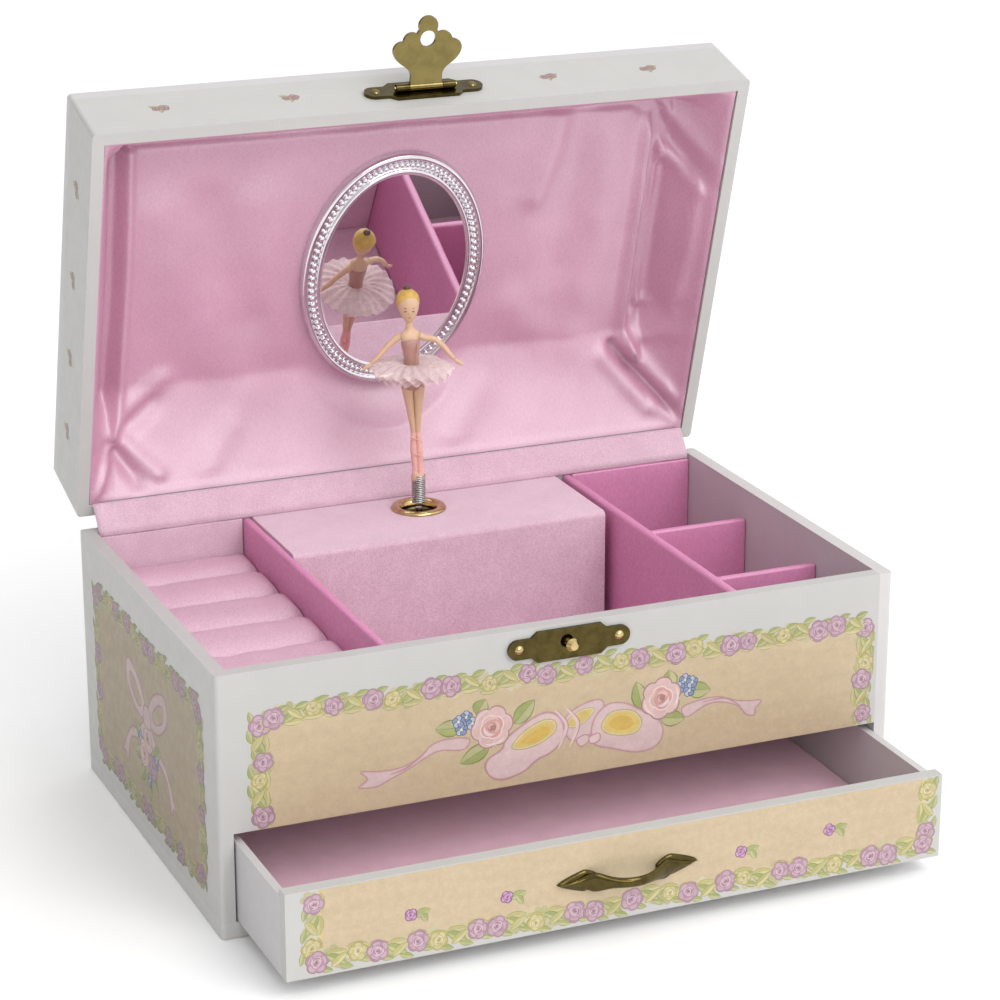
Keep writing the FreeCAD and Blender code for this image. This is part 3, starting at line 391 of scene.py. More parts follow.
def dress_nodes():
    """Each CAD node takes the look of its slot in the record, unless listed: listed nodes take darker brass with
    painted dark reflection, paler brass with painted highlight, and a lighter paper that is partly painted light.
    """
    # Dark brass paints dark reflection on the plates, and bright brass paints highlights on the knuckle, nails and
    # stud. The inner paper is lighter partly for a whiter paper and partly as painted light on walls in shade.
    painted_light_looks = {"hasp_plate": "brass_dark", "catch_plate": "brass_dark", "hasp_pin": "brass_bright",
             "catch_nails_and_stud": "brass_bright", "right_wall": "inner_paper_with_painted_light",
             "drawer_right_side": "inner_paper_with_painted_light", "drawer_back": "inner_paper_with_painted_light"}
    for row in frame["record"]["subparts"]:
        node = frame["nodes"][row["node"]]
        look = painted_light_looks.get(row["node"], row["material_slot"])
        node.data.materials.clear()
        node.data.materials.append(materials[look])


# --- mesh helpers ----------------------------------------------------------------------------

def new_object(name, verts, faces, material, smooth=True):
    mesh = bpy.data.meshes.new(name)
    mesh.from_pydata([tuple(v) for v in verts], [], faces)
    mesh.validate()
    mesh.polygons.foreach_set("use_smooth", [smooth] * len(mesh.polygons))
    mesh.materials.append(materials[material])
    made = bpy.data.objects.new(name, mesh)
    bpy.context.scene.collection.objects.link(made)
    return made


def apply_modifier(piece, kind, **settings):
    modifier = piece.modifiers.new(kind.lower(), kind)
    for name, value in settings.items():
        setattr(modifier, name, value)
    graph = bpy.context.evaluated_depsgraph_get()
    graph.update()
    final = bpy.data.meshes.new_from_object(piece.evaluated_get(graph))
    piece.modifiers.clear()
    piece.data = final


def grid_faces(rows, columns, wrap=False, caps=0):
    """Quads between neighbouring rows of points; wrap joins the last column to the first.

    caps closes the first and last rows, and -1 turns those two faces round.
    """
    faces = []
    for row in range(rows - 1):
        for column in range(columns if wrap else columns - 1):
            beside = (column + 1) % columns
            first, second = row * columns, (row + 1) * columns
            faces.append((first + column, first + beside, second + beside, second + column))
    if caps:
        faces.append(tuple(range(columns))[::caps])
        faces.append(tuple(range((rows - 1) * columns, rows * columns))[::-caps])
    return faces


def around(sides):
    """The cosine and sine of equal steps round a full turn."""
    return [(math.cos(FULL_TURN * step / sides), math.sin(FULL_TURN * step / sides))
            for step in range(sides)]


def smooth_line(points, steps=5, closed=False):
    """A Catmull-Rom curve through 2D or 3D points."""
    points = [Vector(p) for p in points]
    count = len(points)
    spans = count if closed else count - 1

    def pick(number):
        return points[number % count] if closed else points[max(0, min(count - 1, number))]
    line = []
    for span in range(spans):
        a, b, c, d = (pick(span + shift) for shift in (-1, 0, 1, 2))
        for step in range(steps):
            t = step / steps
            line.append(0.5 * (2 * b + (c - a) * t + (2 * a - 5 * b + 4 * c - d) * t * t
                               + (3 * b - a - 3 * c + d) * t ** 3))
    if not closed:
        line.append(points[-1])
    return line


def spaced(low, high, radius, step):
    """Coordinates from low to high, crowded where the edge is rounded."""
    corner = [0, 0.15, 0.4, 0.7, 1]
    count = max(1, round((high - low - 2 * radius) / step))
    middle = [low + radius + (high - low - 2 * radius) * n / count for n in range(1, count)]
    return [low + radius * c for c in corner] + middle + [high - radius * c for c in corner[::-1]]


def soft_block(low, high, radius, seed):
    """A box with rounded edges and a slightly uneven skin, as card under cloth has."""
    step, ripple = 4 * MM, 0.12 * MM
    lines = [spaced(low[axis], high[axis], radius, step) for axis in range(3)]
    verts, index, faces = [], {}, []

    def corner(place):
        if place not in index:
            raw = Vector([lines[axis][place[axis]] for axis in range(3)])
            core = Vector([min(max(raw[axis], low[axis] + radius), high[axis] - radius)
                           for axis in range(3)])
            out = (raw - core).normalized()
            bump = noise.noise(raw / (9 * MM) + Vector((seed, 0, 0))) * ripple
            index[place] = len(verts)
            verts.append(core + out * (radius + bump - ripple * 0.5))
        return index[place]
    for axis in range(3):
        first, second = [other for other in range(3) if other != axis]
        for side in (0, len(lines[axis]) - 1):
            for i in range(len(lines[first]) - 1):
                for j in range(len(lines[second]) - 1):
                    quad = []
                    for di, dj in ((0, 0), (1, 0), (1, 1), (0, 1)):
                        place = [0, 0, 0]
                        place[axis], place[first], place[second] = side, i + di, j + dj
                        quad.append(corner(tuple(place)))
                    outward = (side > 0) == (axis != 1)
                    faces.append(tuple(quad if outward else quad[::-1]))
    return verts, faces


def tube(points, sizes, sides):
    """Rings of points along a line; each size is a radius and its factors wide and deep."""
    verts = []
    for number, (point, (radius, wide, deep)) in enumerate(zip(points, sizes)):
        before, after = points[max(0, number - 1)], points[min(len(points) - 1, number + 1)]
        way = (after - before).normalized()
        side = way.cross(Y).normalized() if abs(way.dot(Y)) < 0.9 else way.cross(X).normalized()
        front = side.cross(way)
        verts += [point + side * (radius * wide * c) + front * (radius * deep * s)
                  for c, s in around(sides)]
    return verts, grid_faces(len(points), sides, wrap=True, caps=-1)


def joined(name, shapes, material):
    """One object from several (verts, faces) shapes."""
    verts, faces = [], []
    for more_verts, more_faces in shapes:
        start = len(verts)
        verts += more_verts
        faces += [tuple(start + corner for corner in face) for face in more_faces]
    return new_object(name, verts, faces, material)


def lid_turn():
    """The matrix that opens a piece drawn with the lid shut to the rest pose."""
    hinge = Vector(joints["lid_hinge"]["pos_m"])
    angle = math.radians(joints["lid_hinge"]["range_deg"][1])
    return Matrix.Translation(hinge) @ Matrix.Rotation(-angle, 4, "X") @ Matrix.Translation(-hinge)


def box_of(points):
    """The lowest and highest corners of a set of points."""
    return [Vector([pick(point[axis] for point in points) for axis in range(3)])
            for pick in (min, max)]


def shut_box(name):
    """The lowest and highest corners of a lid's node as it lies with the lid shut."""
    shut = lid_turn().inverted()
    return box_of([shut @ vertex.co for vertex in frame["nodes"][name].data.vertices])


def islands(name):
    """The box of each separate solid of a node, from left to right and front to back.

    Solids that only touch stay apart: a shared edge has four faces, not two.
    """
    mesh = bmesh.new()
    mesh.from_mesh(frame["nodes"][name].data)
    bmesh.ops.remove_doubles(mesh, verts=mesh.verts, dist=0.001 * MM)
    left, boxes = set(mesh.faces), []
    while left:
        front, group = [left.pop()], []
        while front:
            face = front.pop()
            group += [vertex.co.copy() for vertex in face.verts]
            for edge in face.edges:
                for other in edge.link_faces if len(edge.link_faces) == 2 else ():
                    if other in left:
                        left.remove(other)
                        front.append(other)
        boxes.append(box_of(group))
    mesh.free()
    return sorted(boxes, key=lambda box: tuple(round(c, 5) for c in box[0]))


# --- lid lining ------------------------------------------------------------------------------

def along_fold(x, u, points, width):
    """How much of a fold is felt at a place: 1 on its line, fading over its width and its ends."""
    best = 0.0
    for (x0, u0), (x1, u1) in zip(points, points[1:]):
        dx, du = x1 - x0, u1 - u0
        t = max(0.0, min(1.0, ((x - x0) * dx + (u - u0) * du) / (dx * dx + du * du)))
        reach = (x - x0 - dx * t) ** 2 + (u - u0 - du * t) ** 2
        best = max(best, math.exp(-reach / width ** 2))
    return best


# Folds of the lid's cloth: points (across, up from the lid's back edge), width and height in
# millimetres. Height is towards the viewer, so a crease is negative.
LID_FOLDS = [
    ([(-83.5, 108), (-82.5, 60), (-83, 28), (-87, 13)], 2.0, 2.4),
    ([(-88.3, 110), (-87.5, 60), (-88.5, 25)], 2.0, -2.4),
    ([(-87, 13), (-73, 22)], 2.6, -1.3),
    ([(-88, 17), (-70, 29)], 3.0, 1.3),
    ([(-87, 12), (-81, 3.5)], 2.2, -2.2),
    ([(-88, 12), (-94, 3.5)], 1.8, 1.8),
    ([(-84, 14), (-74, 5)], 2.4, 1.4),
    ([(79, 106), (79, 84), (79.3, 54), (79.3, 30), (82.4, 20)], 1.5, 2.2),
    ([(82, 104), (82, 84), (82.3, 54), (82.3, 34)], 1.3, -2.0),
    ([(77, 106), (84.4, 97), (89.3, 91), (95, 85)], 2.4, -3.2),
    ([(84, 104), (90, 97), (95, 93)], 2.6, 1.8),
    ([(86, 90), (92, 82)], 2.4, 1.6),
    ([(86.5, 84), (86, 62), (87, 40)], 2.4, -2.2),
    ([(92.5, 84), (92.5, 60), (91.5, 38)], 1.6, 2.2),
    ([(95, 34), (88, 27), (82.5, 24)], 2.4, 2.0),
    ([(94, 40), (86, 33)], 2.4, -1.4),
    ([(76.5, 23), (83.7, 15), (89.7, 9.5), (95, 4.5)], 1.5, -3.0),
    ([(80, 24.5), (88, 16), (93.5, 11)], 2.4, 2.0),
    ([(73, 21), (80, 13), (86, 7)], 3.2, 1.6),
    ([(-72, 84), (-66, 60), (-57, 40), (-44, 24)], 9.0, 1.3),
    ([(-58, 84), (-52, 62), (-44, 46)], 7.0, -0.9),
    ([(-42, 84), (-38, 60), (-33, 38)], 8.0, 1.0),
    ([(50, 106), (48, 92), (44, 78)], 4.0, 1.2),
    ([(57, 104), (58, 80), (55, 55)], 7.0, -0.8),
    ([(66, 96), (67, 60), (62, 30)], 8.0, 1.1),
    ([(40, 40), (52, 28), (66, 22)], 7.0, 0.9),
    ([(-90, 107.5), (-40, 106.5), (40, 106.5), (80, 106)], 1.3, -1.9),
    ([(-90, 111.5), (0, 111), (86, 111)], 2.2, 1.9),
    ([(-60, 4), (-50, 14)], 4.0, 0.8),
    ([(20, 5), (30, 15)], 5.0, 0.8),
]
ROLL = 2.2


def lid_cloth():
    """Satin gathered over card inside the lid, puffed at the rim and creased at its corners."""
    low, high = shut_box("lid_lining")
    mirror_low, mirror_high = shut_box("mirror_frame")
    rim, ceiling = low.z, (mirror_high.z - low.z) / MM
    back = high.y
    centre = (mirror_low + mirror_high) / 2
    half_wide, half_long = [(mirror_high[a] - mirror_low[a]) / 2 / MM + 2 for a in (0, 1)]
    mirror_up = (back - centre.y) / MM
    half, span = (high.x - low.x) / 2 / MM, (high.y - low.y) / MM
    edge_gap = 0.25

    def climb(distance, run, power):
        start = 0.07 * min(1.0, distance / ROLL) ** 0.5
        t = max(0.0, min(1.0, (distance - ROLL * 0.5) / run))
        return start + (1 - start) * t ** power * (1 + power * (1 - t) * 0.35)

    def depth(x, u):
        base = climb(x + half, 8.0, 0.95) * climb(half - x, 9.5, 0.95)
        base *= climb(span - u, 9.5, 1.0) * climb(u, 26.0, 1.0)
        base = 0.5 + (ceiling - 0.5) * min(1.0, base)
        slack = min(1.0, (x + half) / 5, (half - x) / 5, (span - u) / 5, u / 5)
        folds = 1.35 * sum(height * along_fold(x, u, points, width)
                           for points, width, height in LID_FOLDS)
        place = Vector((x / 26 + u / 60, u / 34 - x / 70, 3.1))
        folds += 0.7 * noise.noise(place) + 0.22 * noise.noise(place * 3.3)
        folds += 0.05 * noise.noise(Vector((x / 2.1, u / 5.0, 9.0)))
        reach = math.hypot(x / half_wide, (u - mirror_up) / half_long)
        calm = max(0.0, min(1.0, (reach - 1) / 0.22))
        free = base - folds * slack
        limit = ceiling + 1.6
        return min(limit, ceiling * (1 - calm) + free * calm)

    def ticks(length):
        step, fine, count = 1.25, 0.55, 30
        near = [edge_gap + fine * number for number in range(count)]
        inner = round((length - 2 * near[-1]) / step)
        middle = [near[-1] + (length - 2 * near[-1]) * n / inner for n in range(1, inner)]
        return near + middle + [length - place for place in near[::-1]]
    turn = lid_turn()
    columns = [tick - half for tick in ticks(2 * half)]
    rows = ticks(span)
    verts = [turn @ Vector((x * MM, back - u * MM, rim + depth(x, u) * MM))
             for u in rows for x in columns]
    # The lid's cloth takes the paler satin copy: painted light.
    cloth = new_object("lid_cloth", verts, grid_faces(len(rows), len(columns)), "satin_light")
    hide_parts("lid_lining")
    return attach(cloth, "lid")


def hinge_cloth():
    """The plush stay from the lid's back edge down to the tray, slightly slack."""
    low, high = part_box("hinge_strip")
    rows, columns = 15, 97
    foot = Vector((0, low.y + 0.3 * MM, low.z))
    bend = Vector((0, low.y + 0.3 * MM, low.z + 1.6 * MM))
    top = Vector((0, high.y - 0.1 * MM, high.z + 0.2 * MM))
    line = [foot.lerp(bend, n / 3) for n in range(3)]
    line += [bend.lerp(top, n / (rows - 4)) for n in range(rows - 3)]
    verts = []
    for number, point in enumerate(line):
        t = number / (rows - 1)
        for column in range(columns):
            x = low.x + (high.x - low.x) * column / (columns - 1)
            sag = math.sin(math.pi * t) * (0.35 + 0.3 * noise.noise(Vector((x * 60, t, 4))))
            verts.append(point + Vector((x, -sag * MM, -0.4 * sag * MM)))
    cloth = new_object("hinge_cloth", verts, grid_faces(rows, columns), "plush")
    apply_modifier(cloth, "SOLIDIFY", thickness=0.4 * MM, offset=1)
    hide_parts("hinge_strip")
    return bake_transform(cloth)


# --- tray ------------------------------------------------------------------------------------

def card_under_cloth(node, radius, material, body="base"):
    """Soft-edged blocks for every solid of a node; radius is in millimetres."""
    shapes = [soft_block(low, high, radius * MM, seed)
              for seed, (low, high) in enumerate(islands(node))]
    piece = joined(node + "_cloth", shapes, material)
    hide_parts(node)
    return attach(piece, body)


def ring_rolls():
    """Stuffed rolls: shallow crowns, ends pulled in and small dents along the partition."""
    shapes = []
    for seed, (low, high) in enumerate(islands("ring_rolls")):
        length, depth = 26, 22
        verts = []
        half, middle = (high.y - low.y) / 2, (high.y + low.y) / 2
        shoulder = 5.5 * MM
        for i in range(length):
            t = i / (length - 1)
            x = low.x + (high.x - low.x) * t
            ends = min(1.0, (min(t, 1 - t) * (high.x - low.x) / (2.4 * MM)) ** 0.5 + 0.02)
            for j in range(depth):
                angle = math.pi * (-0.16 + 1.32 * j / (depth - 1))
                out = math.copysign(abs(math.cos(angle)) ** 0.62, math.cos(angle))
                rise = math.sin(angle)
                tall = shoulder * (abs(rise) ** 0.9) * (1 if rise > 0 else -2.2)
                dent = noise.noise(Vector((x * 160, middle * 90, seed * 3.7))) * 0.7 * MM
                pull = (1 - ends) * 2.6 * MM + max(0.0, dent)
                verts.append(Vector((x, middle - out * (half - (1 - ends) * 0.8 * MM),
                                     high.z - shoulder + tall - (pull if rise > 0 else 0))))
        shapes.append((verts, grid_faces(length, depth, caps=1)))
    piece = joined("ring_pad_rolls", shapes, "satin_pad")
    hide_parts("ring_rolls")
    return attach(piece, "base")


def make_tray():
    # The partitions, bay back and dividers take the deeper satin copy: painted shade.
    card_under_cloth("left_partition", 0.9, "satin")
    card_under_cloth("right_partition", 1.1, "satin")
    card_under_cloth("right_bay_back_panel", 0.6, "satin")
    card_under_cloth("right_bay_dividers", 0.9, "satin")
    card_under_cloth("tray_linings", 0.35, "plush")
    card_under_cloth("drawer_lining", 0.4, "flock", body="drawer")
    ring_rolls()


# --- mirror ----------------------------------------------------------------------------------

def mirror_rim():
    """A plated oval rim: two smooth hoops with a row of small beads in the channel between."""
    low, high = shut_box("mirror_frame")
    glass_low, glass_high = shut_box("mirror_glass")
    turn = lid_turn()
    centre = (low + high) / 2
    outer = Vector(((high.x - low.x) / 2, (high.y - low.y) / 2))
    lap = 1.0 * MM
    inner = Vector(((glass_high.x - glass_low.x) / 2 - lap, (glass_high.y - glass_low.y) / 2 - lap))
    seat, tall = high.z, high.z - low.z
    profile = [(0, 0), (0, 0.62), (0.05, 0.85), (0.13, 0.97), (0.21, 1.0), (0.29, 0.93),
               (0.34, 0.8), (0.37, 0.68), (0.68, 0.68), (0.71, 0.82), (0.76, 0.95),
               (0.83, 1.0), (0.90, 0.96), (0.96, 0.86), (1.0, 0.8), (1.0, 0.6)]
    sides, beads, channel = 144, 98, (0.525, 0.72)

    def spot(way, inward, height):
        reach = outer.lerp(inner, inward)
        return turn @ Vector((centre.x + reach.x * way[0], centre.y + reach.y * way[1],
                              seat - tall * height))
    verts = [spot(way, *place) for place in profile for way in around(sides)]
    rim = new_object("mirror_rim", verts, grid_faces(len(profile), sides, wrap=True),
                     "chrome_rim")
    apply_modifier(rim, "SUBSURF", levels=1)
    shapes = [ball_shape(spot(way, *channel), 0.88 * MM, 7, 10) for way in around(beads)]
    bead_ring = joined("mirror_beads", shapes, "chrome_rim")
    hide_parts("mirror_frame")
    for piece in (rim, bead_ring):
        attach(piece, "lid")


def ball_shape(centre, radius, rings, sides, stretch=(1, 1, 1)):
    """A closed ball of rings between two poles, stretched along X, Y and Z."""
    verts, faces = [], []
    for ring in range(1, rings):
        polar = math.pi * ring / rings
        for c, s in around(sides):
            out = Vector((math.sin(polar) * c * stretch[0], math.sin(polar) * s * stretch[1],
                          math.cos(polar) * stretch[2]))
            verts.append(centre + out * radius)
    faces += [face[::-1] for face in grid_faces(rings - 1, sides, wrap=True)]
    top, bottom = len(verts), len(verts) + 1
    verts += [centre + Z * radius * stretch[2], centre - Z * radius * stretch[2]]
    last = (rings - 2) * sides
    for side in range(sides):
        beside = (side + 1) % sides
        faces.append((top, side, beside))
        faces.append((bottom, last + beside, last + side))
    return verts, faces


# --- brass -----------------------------------------------------------------------------------

def drawer_handle():
    """A crowned strap that bows out between two pointed leaves."""
    low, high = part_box("drawer_handle")
    half, middle = (high.x - low.x) / 2, (low.z + high.z) / 2
    face, rise = high.y, high.y - low.y
    foot, shoulder, sides, steps = 0.76, 0.52, 12, 61
    verts = []
    for step in range(steps):
        t = -1 + 2 * step / (steps - 1)
        reach = abs(t)
        bow = 0.5 + 0.5 * math.cos(math.pi * min(1.0, reach / foot))
        out = 0.9 * MM + (rise - 1.6 * MM) * bow
        tip = max(0.02, min(1.0, (1 - reach) / (1 - shoulder)))
        waist = 1.45 + 1.35 * math.exp(-((reach - shoulder) / 0.17) ** 2)
        wide = waist * tip ** 0.8 * MM
        thick = (0.55 + 0.15 * (1 - reach)) * MM * min(1.0, tip * 3)
        for across, proud in around(sides):
            crown = thick * (proud if proud < 0 else proud * 1.5 * (1 - 0.3 * across ** 2))
            verts.append(Vector((t * half, face - out - crown, middle + wide * across)))
    shapes = [(verts, grid_faces(steps, sides, wrap=True, caps=1))]
    shapes += [leaf_plate(side, half, middle, face) for side in (-1, 1)]
    # The dark brass copy: painted dark reflection on the handle.
    piece = joined("handle_bow", shapes, "brass_dark")
    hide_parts("drawer_handle")
    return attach(piece, "drawer")


def leaf_plate(side, half, middle, face):
    """The pointed foot plate under one end of the strap, domed in the middle."""
    verts, steps, rows = [], 15, 7
    inner_end, swell, taper, widest = 0.4, 0.22, 0.38, 3.1 * MM
    for step in range(steps):
        t = inner_end + (1 - inner_end) * step / (steps - 1)
        grow = min(1.0, max(0.05, (t - inner_end) / swell)) ** 0.6
        wide = min(widest, widest * grow * max(0.0, (1 - t) / taper) ** 0.7)
        for row in range(rows):
            across = -1 + 2 * row / (rows - 1)
            out = (0.25 + 0.75 * (1 - across ** 2) * min(1.0, wide / MM)) * MM
            verts.append(Vector((side * t * half, face - out, middle + wide * across)))
    faces = grid_faces(steps, rows)
    base = len(verts)
    verts += [Vector((v.x, face, v.z)) for v in verts]
    faces += [tuple(base + corner for corner in f[::-1]) for f in faces]
    border = list(range(rows))
    border += [(step + 1) * rows - 1 for step in range(1, steps)]
    border += [(steps - 1) * rows + row for row in range(rows - 2, -1, -1)]
    border += [step * rows for step in range(steps - 2, 0, -1)]
    for first, second in zip(border, border[1:] + border[:1]):
        faces.append((second, first, base + first, base + second))
    if side < 0:
        faces = [f[::-1] for f in faces]
    return verts, faces


def neck_spring():
    """A closely wound steel spring between the spindle and the dancer's feet."""
    low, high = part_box("coil_spring")
    centre = (low + high) / 2
    wire = 0.26 * MM
    reach = (high.x - low.x) / 2 - wire
    turns = int((high.z - low.z) / (2.25 * wire))
    per_turn, sides = 22, 7
    steps = turns * per_turn
    verts = []
    for step in range(steps + 1):
        angle = FULL_TURN * step / per_turn
        rise = low.z + wire + (high.z - low.z - 2 * wire) * step / steps
        out = Vector((math.cos(angle), math.sin(angle), 0))
        point = Vector((centre.x + reach * out.x, centre.y + reach * out.y, rise))
        verts += [point + out * wire * c + Z * wire * s for c, s in around(sides)]
    spring = new_object("neck_spring", verts,
                        grid_faces(steps + 1, sides, wrap=True, caps=1), "steel")
    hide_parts("coil_spring")
    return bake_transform(spring)


def eyelet():
    """The brass ring round the spring: a rolled rim that dips into the bore."""
    low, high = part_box("spindle_eyelet")
    centre = (low + high) / 2
    reach = (high.x - low.x) / 2
    bore = reach * 0.606
    roll = [(reach, 0), (reach, 0.4), (reach - 0.4 * MM, 0.9), (reach - 1.2 * MM, 1.15),
            (reach - 2.1 * MM, 1.0), (bore + 0.5 * MM, 0.55), (bore + 0.1 * MM, -0.1),
            (bore, -1.0), (bore, -2.4)]
    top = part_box("music_cover")[1].z
    sides = 64
    verts = [Vector((centre.x + radius * c, centre.y + radius * s, top + rise * MM))
             for radius, rise in roll for c, s in around(sides)]
    # The bright brass copy: painted highlight on the eyelet.
    ring = new_object("eyelet_ring", verts, grid_faces(len(roll), sides, wrap=True),
                      "brass_bright")
    apply_modifier(ring, "SOLIDIFY", thickness=0.25 * MM, offset=-1)
    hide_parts("spindle_eyelet")
    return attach(ring, "base")


# --- dancer ----------------------------------------------------------------------------------

DANCER_TURN = math.radians(-16)
DANCER_LEAN = -0.05


class Dancer:
    """Places on the figure in millimetres: across, out to the front, and up from the feet."""

    def __init__(self):
        axis = joints["dancer_spin"]["pos_m"]
        self.foot = Vector((axis[0], axis[1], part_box("ballerina")[0].z))
        self.turn = Matrix.Rotation(DANCER_TURN, 3, "Z")

    def at(self, across, out, up):
        swung = self.turn @ Vector((across, -out, 0))
        lean = Vector((DANCER_LEAN * up, 0, 0))
        return self.foot + (swung + lean) * MM + Z * (up * MM)

    def limb(self, stations, sides=16, steps=4):
        """A smooth tube; each station is across, out, up, radius and optional wide, deep."""
        full = [tuple(station) + (1.0,) * (6 - len(station)) for station in stations]
        places = smooth_line([self.at(*station[:3]) for station in full], steps)
        sizes = smooth_line([Vector(station[3:6]) for station in full], steps)
        return tube(places, [(size.x * MM, size.y, size.z) for size in sizes], sides)

    def trunk(self, stations, sides=16):
        """A limb on the figure's middle line; its stations leave out across."""
        return self.limb([(0, *station) for station in stations], sides)

    def pair(self, stations, sides=16):
        """The same limb on the figure's right and left."""
        return [self.limb([(side * across, *rest) for across, *rest in stations], sides)
                for side in (-1, 1)]

    def dab(self, across, out, up, radius, stretch):
        return ball_shape(self.at(across, out, up), radius * MM, 8, 12, stretch)


def finish_part(piece):
    apply_modifier(piece, "SUBSURF", levels=1)
    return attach(piece, "dancer")


def dancer_arm(figure, side, elbow, hand):
    """An arm and its hand, from the places of the elbow and the wrist (across, up)."""
    (bend, bend_up), (across, up) = elbow, hand
    arm = [(2.6, 0, 45.2, 1.15), (3.9, 0.1, 44.4, 1.1), (bend * 0.72, 0.4, bend_up + 2.2, 0.95),
           (bend, 0.7, bend_up, 0.86), ((bend + across) / 2, 1.1, (bend_up + up) / 2, 0.8),
           (across * 0.97, 1.3, up + 0.8, 0.58)]
    palm = [(across * 0.97, 1.3, up + 0.6, 0.56), (across + 0.7, 1.5, up - 0.1, 0.72, 1.1, 0.6),
            (across + 1.6, 1.7, up - 0.7, 0.5, 1.1, 0.5),
            (across + 2.3, 1.8, up - 1.0, 0.22, 1.1, 0.5)]
    return [figure.limb([(side * first, *rest) for first, *rest in stations], sides)
            for stations, sides in ((arm, 12), (palm, 10))]


def dancer_skin(figure):
    """Legs, foot block, chest and neck, arms, and head: the bare parts of the figure."""
    shapes = figure.pair([(0.66, 0, 15.0, 0.80), (0.72, 0.1, 16.4, 0.86), (0.95, 0, 19.5, 1.02),
                          (1.35, 0, 24.5, 1.4), (1.75, 0, 30.0, 1.95)])
    shapes.append(figure.trunk([(0, 0.0, 2.1, 1, 0.85), (0, 0.5, 2.3, 1, 0.85),
                                (0.1, 1.6, 2.25, 1, 0.85), (0.1, 2.5, 1.7, 1, 0.85)]))
    shapes.append(figure.trunk([(0, 42.6, 2.45, 1, 0.8), (0.1, 44.0, 2.75, 1.05, 0.78),
                                (0, 45.4, 2.75, 1.2, 0.68), (-0.1, 46.5, 2.0, 1.15, 0.72),
                                (-0.1, 47.3, 1.3, 1, 0.95), (0, 48.6, 1.1), (0.1, 50.6, 1.1)]))
    for both in zip(dancer_arm(figure, -1, (8.3, 40.7), (12.6, 36.4)),
                    dancer_arm(figure, 1, (9.6, 41.6), (12.9, 37.0))):
        shapes += both
    shapes.append(figure.trunk([(0.5, 49.3, 0.7), (0.55, 49.9, 1.5, 0.95, 1.0),
                                (0.4, 51.2, 2.35, 0.95, 1.02), (0.2, 53.0, 3.0, 0.98, 1.04),
                                (0.0, 54.9, 3.3, 0.98, 1.04), (-0.1, 56.6, 3.0, 0.98, 1.04),
                                (-0.2, 57.8, 1.9), (-0.2, 58.3, 0.5)], 20))
    shapes.append(figure.dab(0, 3.35, 52.5, 0.34, (0.8, 1.0, 1.2)))
    return joined("dancer_skin", shapes, "figure")


def dancer_ribbons(figure):
    """Two ribbons crossing up the calves."""
    turns, steps = 2.2, 24
    ribbons = []
    for way in (-1, 1):
        route = []
        for step in range(steps + 1):
            t = step / steps
            angle = way * (FULL_TURN * turns * t)
            reach = 1.72 + 0.12 * math.sin(math.pi * t)
            route.append((reach * math.sin(angle), 1.12 * math.cos(angle), 3.4 + 10.8 * t, 0.17))
        ribbons.append(figure.limb(route, 6, 2))
    return ribbons


def dancer_hair(figure):
    """A cap of hair and the combed strands on it."""
    shapes = [figure.trunk([(-2.6, 52.0, 0.8), (-1.5, 52.8, 2.4, 1.05, 0.8),
                            (-0.75, 54.3, 3.4, 1.0, 0.92), (-0.35, 56.0, 3.45, 1.0, 1.0),
                            (-0.3, 57.5, 2.85, 1.0, 1.0), (-0.4, 58.7, 1.6),
                            (-0.4, 59.1, 0.4)], 22)]
    for number in range(-9, 11):
        turn = math.radians(18 * number)
        c, s = math.cos(turn), math.sin(turn)
        shapes.append(figure.limb([(s * 3.3, c * 2.6 - 0.4, 55.4, 0.16),
                                   (s * 2.9, c * 2.5 - 0.4, 57.4, 0.2),
                                   (s * 1.2, c * 1.0 - 0.5, 58.9, 0.16)], 6))
    return shapes


def ballerina():
    """The figure: skin, bodice, slippers, hair and painted features, each a piece."""
    figure = Dancer()
    skin = dancer_skin(figure)
    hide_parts("ballerina")
    finish_part(skin)
    bodice = figure.trunk([(0, 28.6, 2.4, 1, 0.8), (0, 29.6, 3.1, 1, 0.8), (0, 32.0, 3.0, 1, 0.8),
                           (0, 35.0, 2.45, 1, 0.8), (0, 37.4, 2.2, 1, 0.82),
                           (0.1, 40.2, 2.5, 1, 0.85), (0.25, 42.4, 2.85, 1, 0.86),
                           (0.2, 43.5, 2.8, 1, 0.84), (0.1, 43.8, 2.4, 1, 0.8)], 20)
    seams = figure.pair([(0.9, 1.95, 35.6, 0.12), (1.05, 2.0, 38.0, 0.12),
                         (1.5, 2.25, 41.0, 0.12), (1.7, 2.2, 43.2, 0.12)], 6)
    finish_part(joined("dancer_bodice", [bodice] + seams, "bodice"))
    stockings = figure.pair([(0.8, 0.4, 1.2, 0.9, 1, 1.3), (0.78, 0.2, 2.4, 1.0),
                             (0.74, 0, 4.6, 0.88), (0.85, -0.1, 8.6, 1.08),
                             (0.78, 0, 12.4, 0.92), (0.66, 0, 15.4, 0.84)])
    finish_part(joined("dancer_slippers", stockings + dancer_ribbons(figure), "slipper"))
    finish_part(joined("dancer_hair", dancer_hair(figure), "hair"))
    knot = figure.dab(0, -0.9, 59.3, 1.15, (1.1, 1.0, 0.75))
    finish_part(joined("dancer_knot", [knot], "face_paint"))
    eyes = [figure.dab(side * 1.12, 3.05, 53.1, 0.27, (1.1, 0.5, 0.8)) for side in (-1, 1)]
    brows = figure.pair([(0.7, 3.22, 54.0, 0.07), (1.15, 3.12, 54.15, 0.09),
                         (1.6, 2.9, 53.95, 0.06)], 6)
    finish_part(joined("dancer_eyes", eyes + brows, "face_paint"))
    lips = figure.dab(0, 2.62, 51.1, 0.36, (1.3, 0.5, 0.55))
    finish_part(joined("dancer_lips", [lips], "lip_paint"))


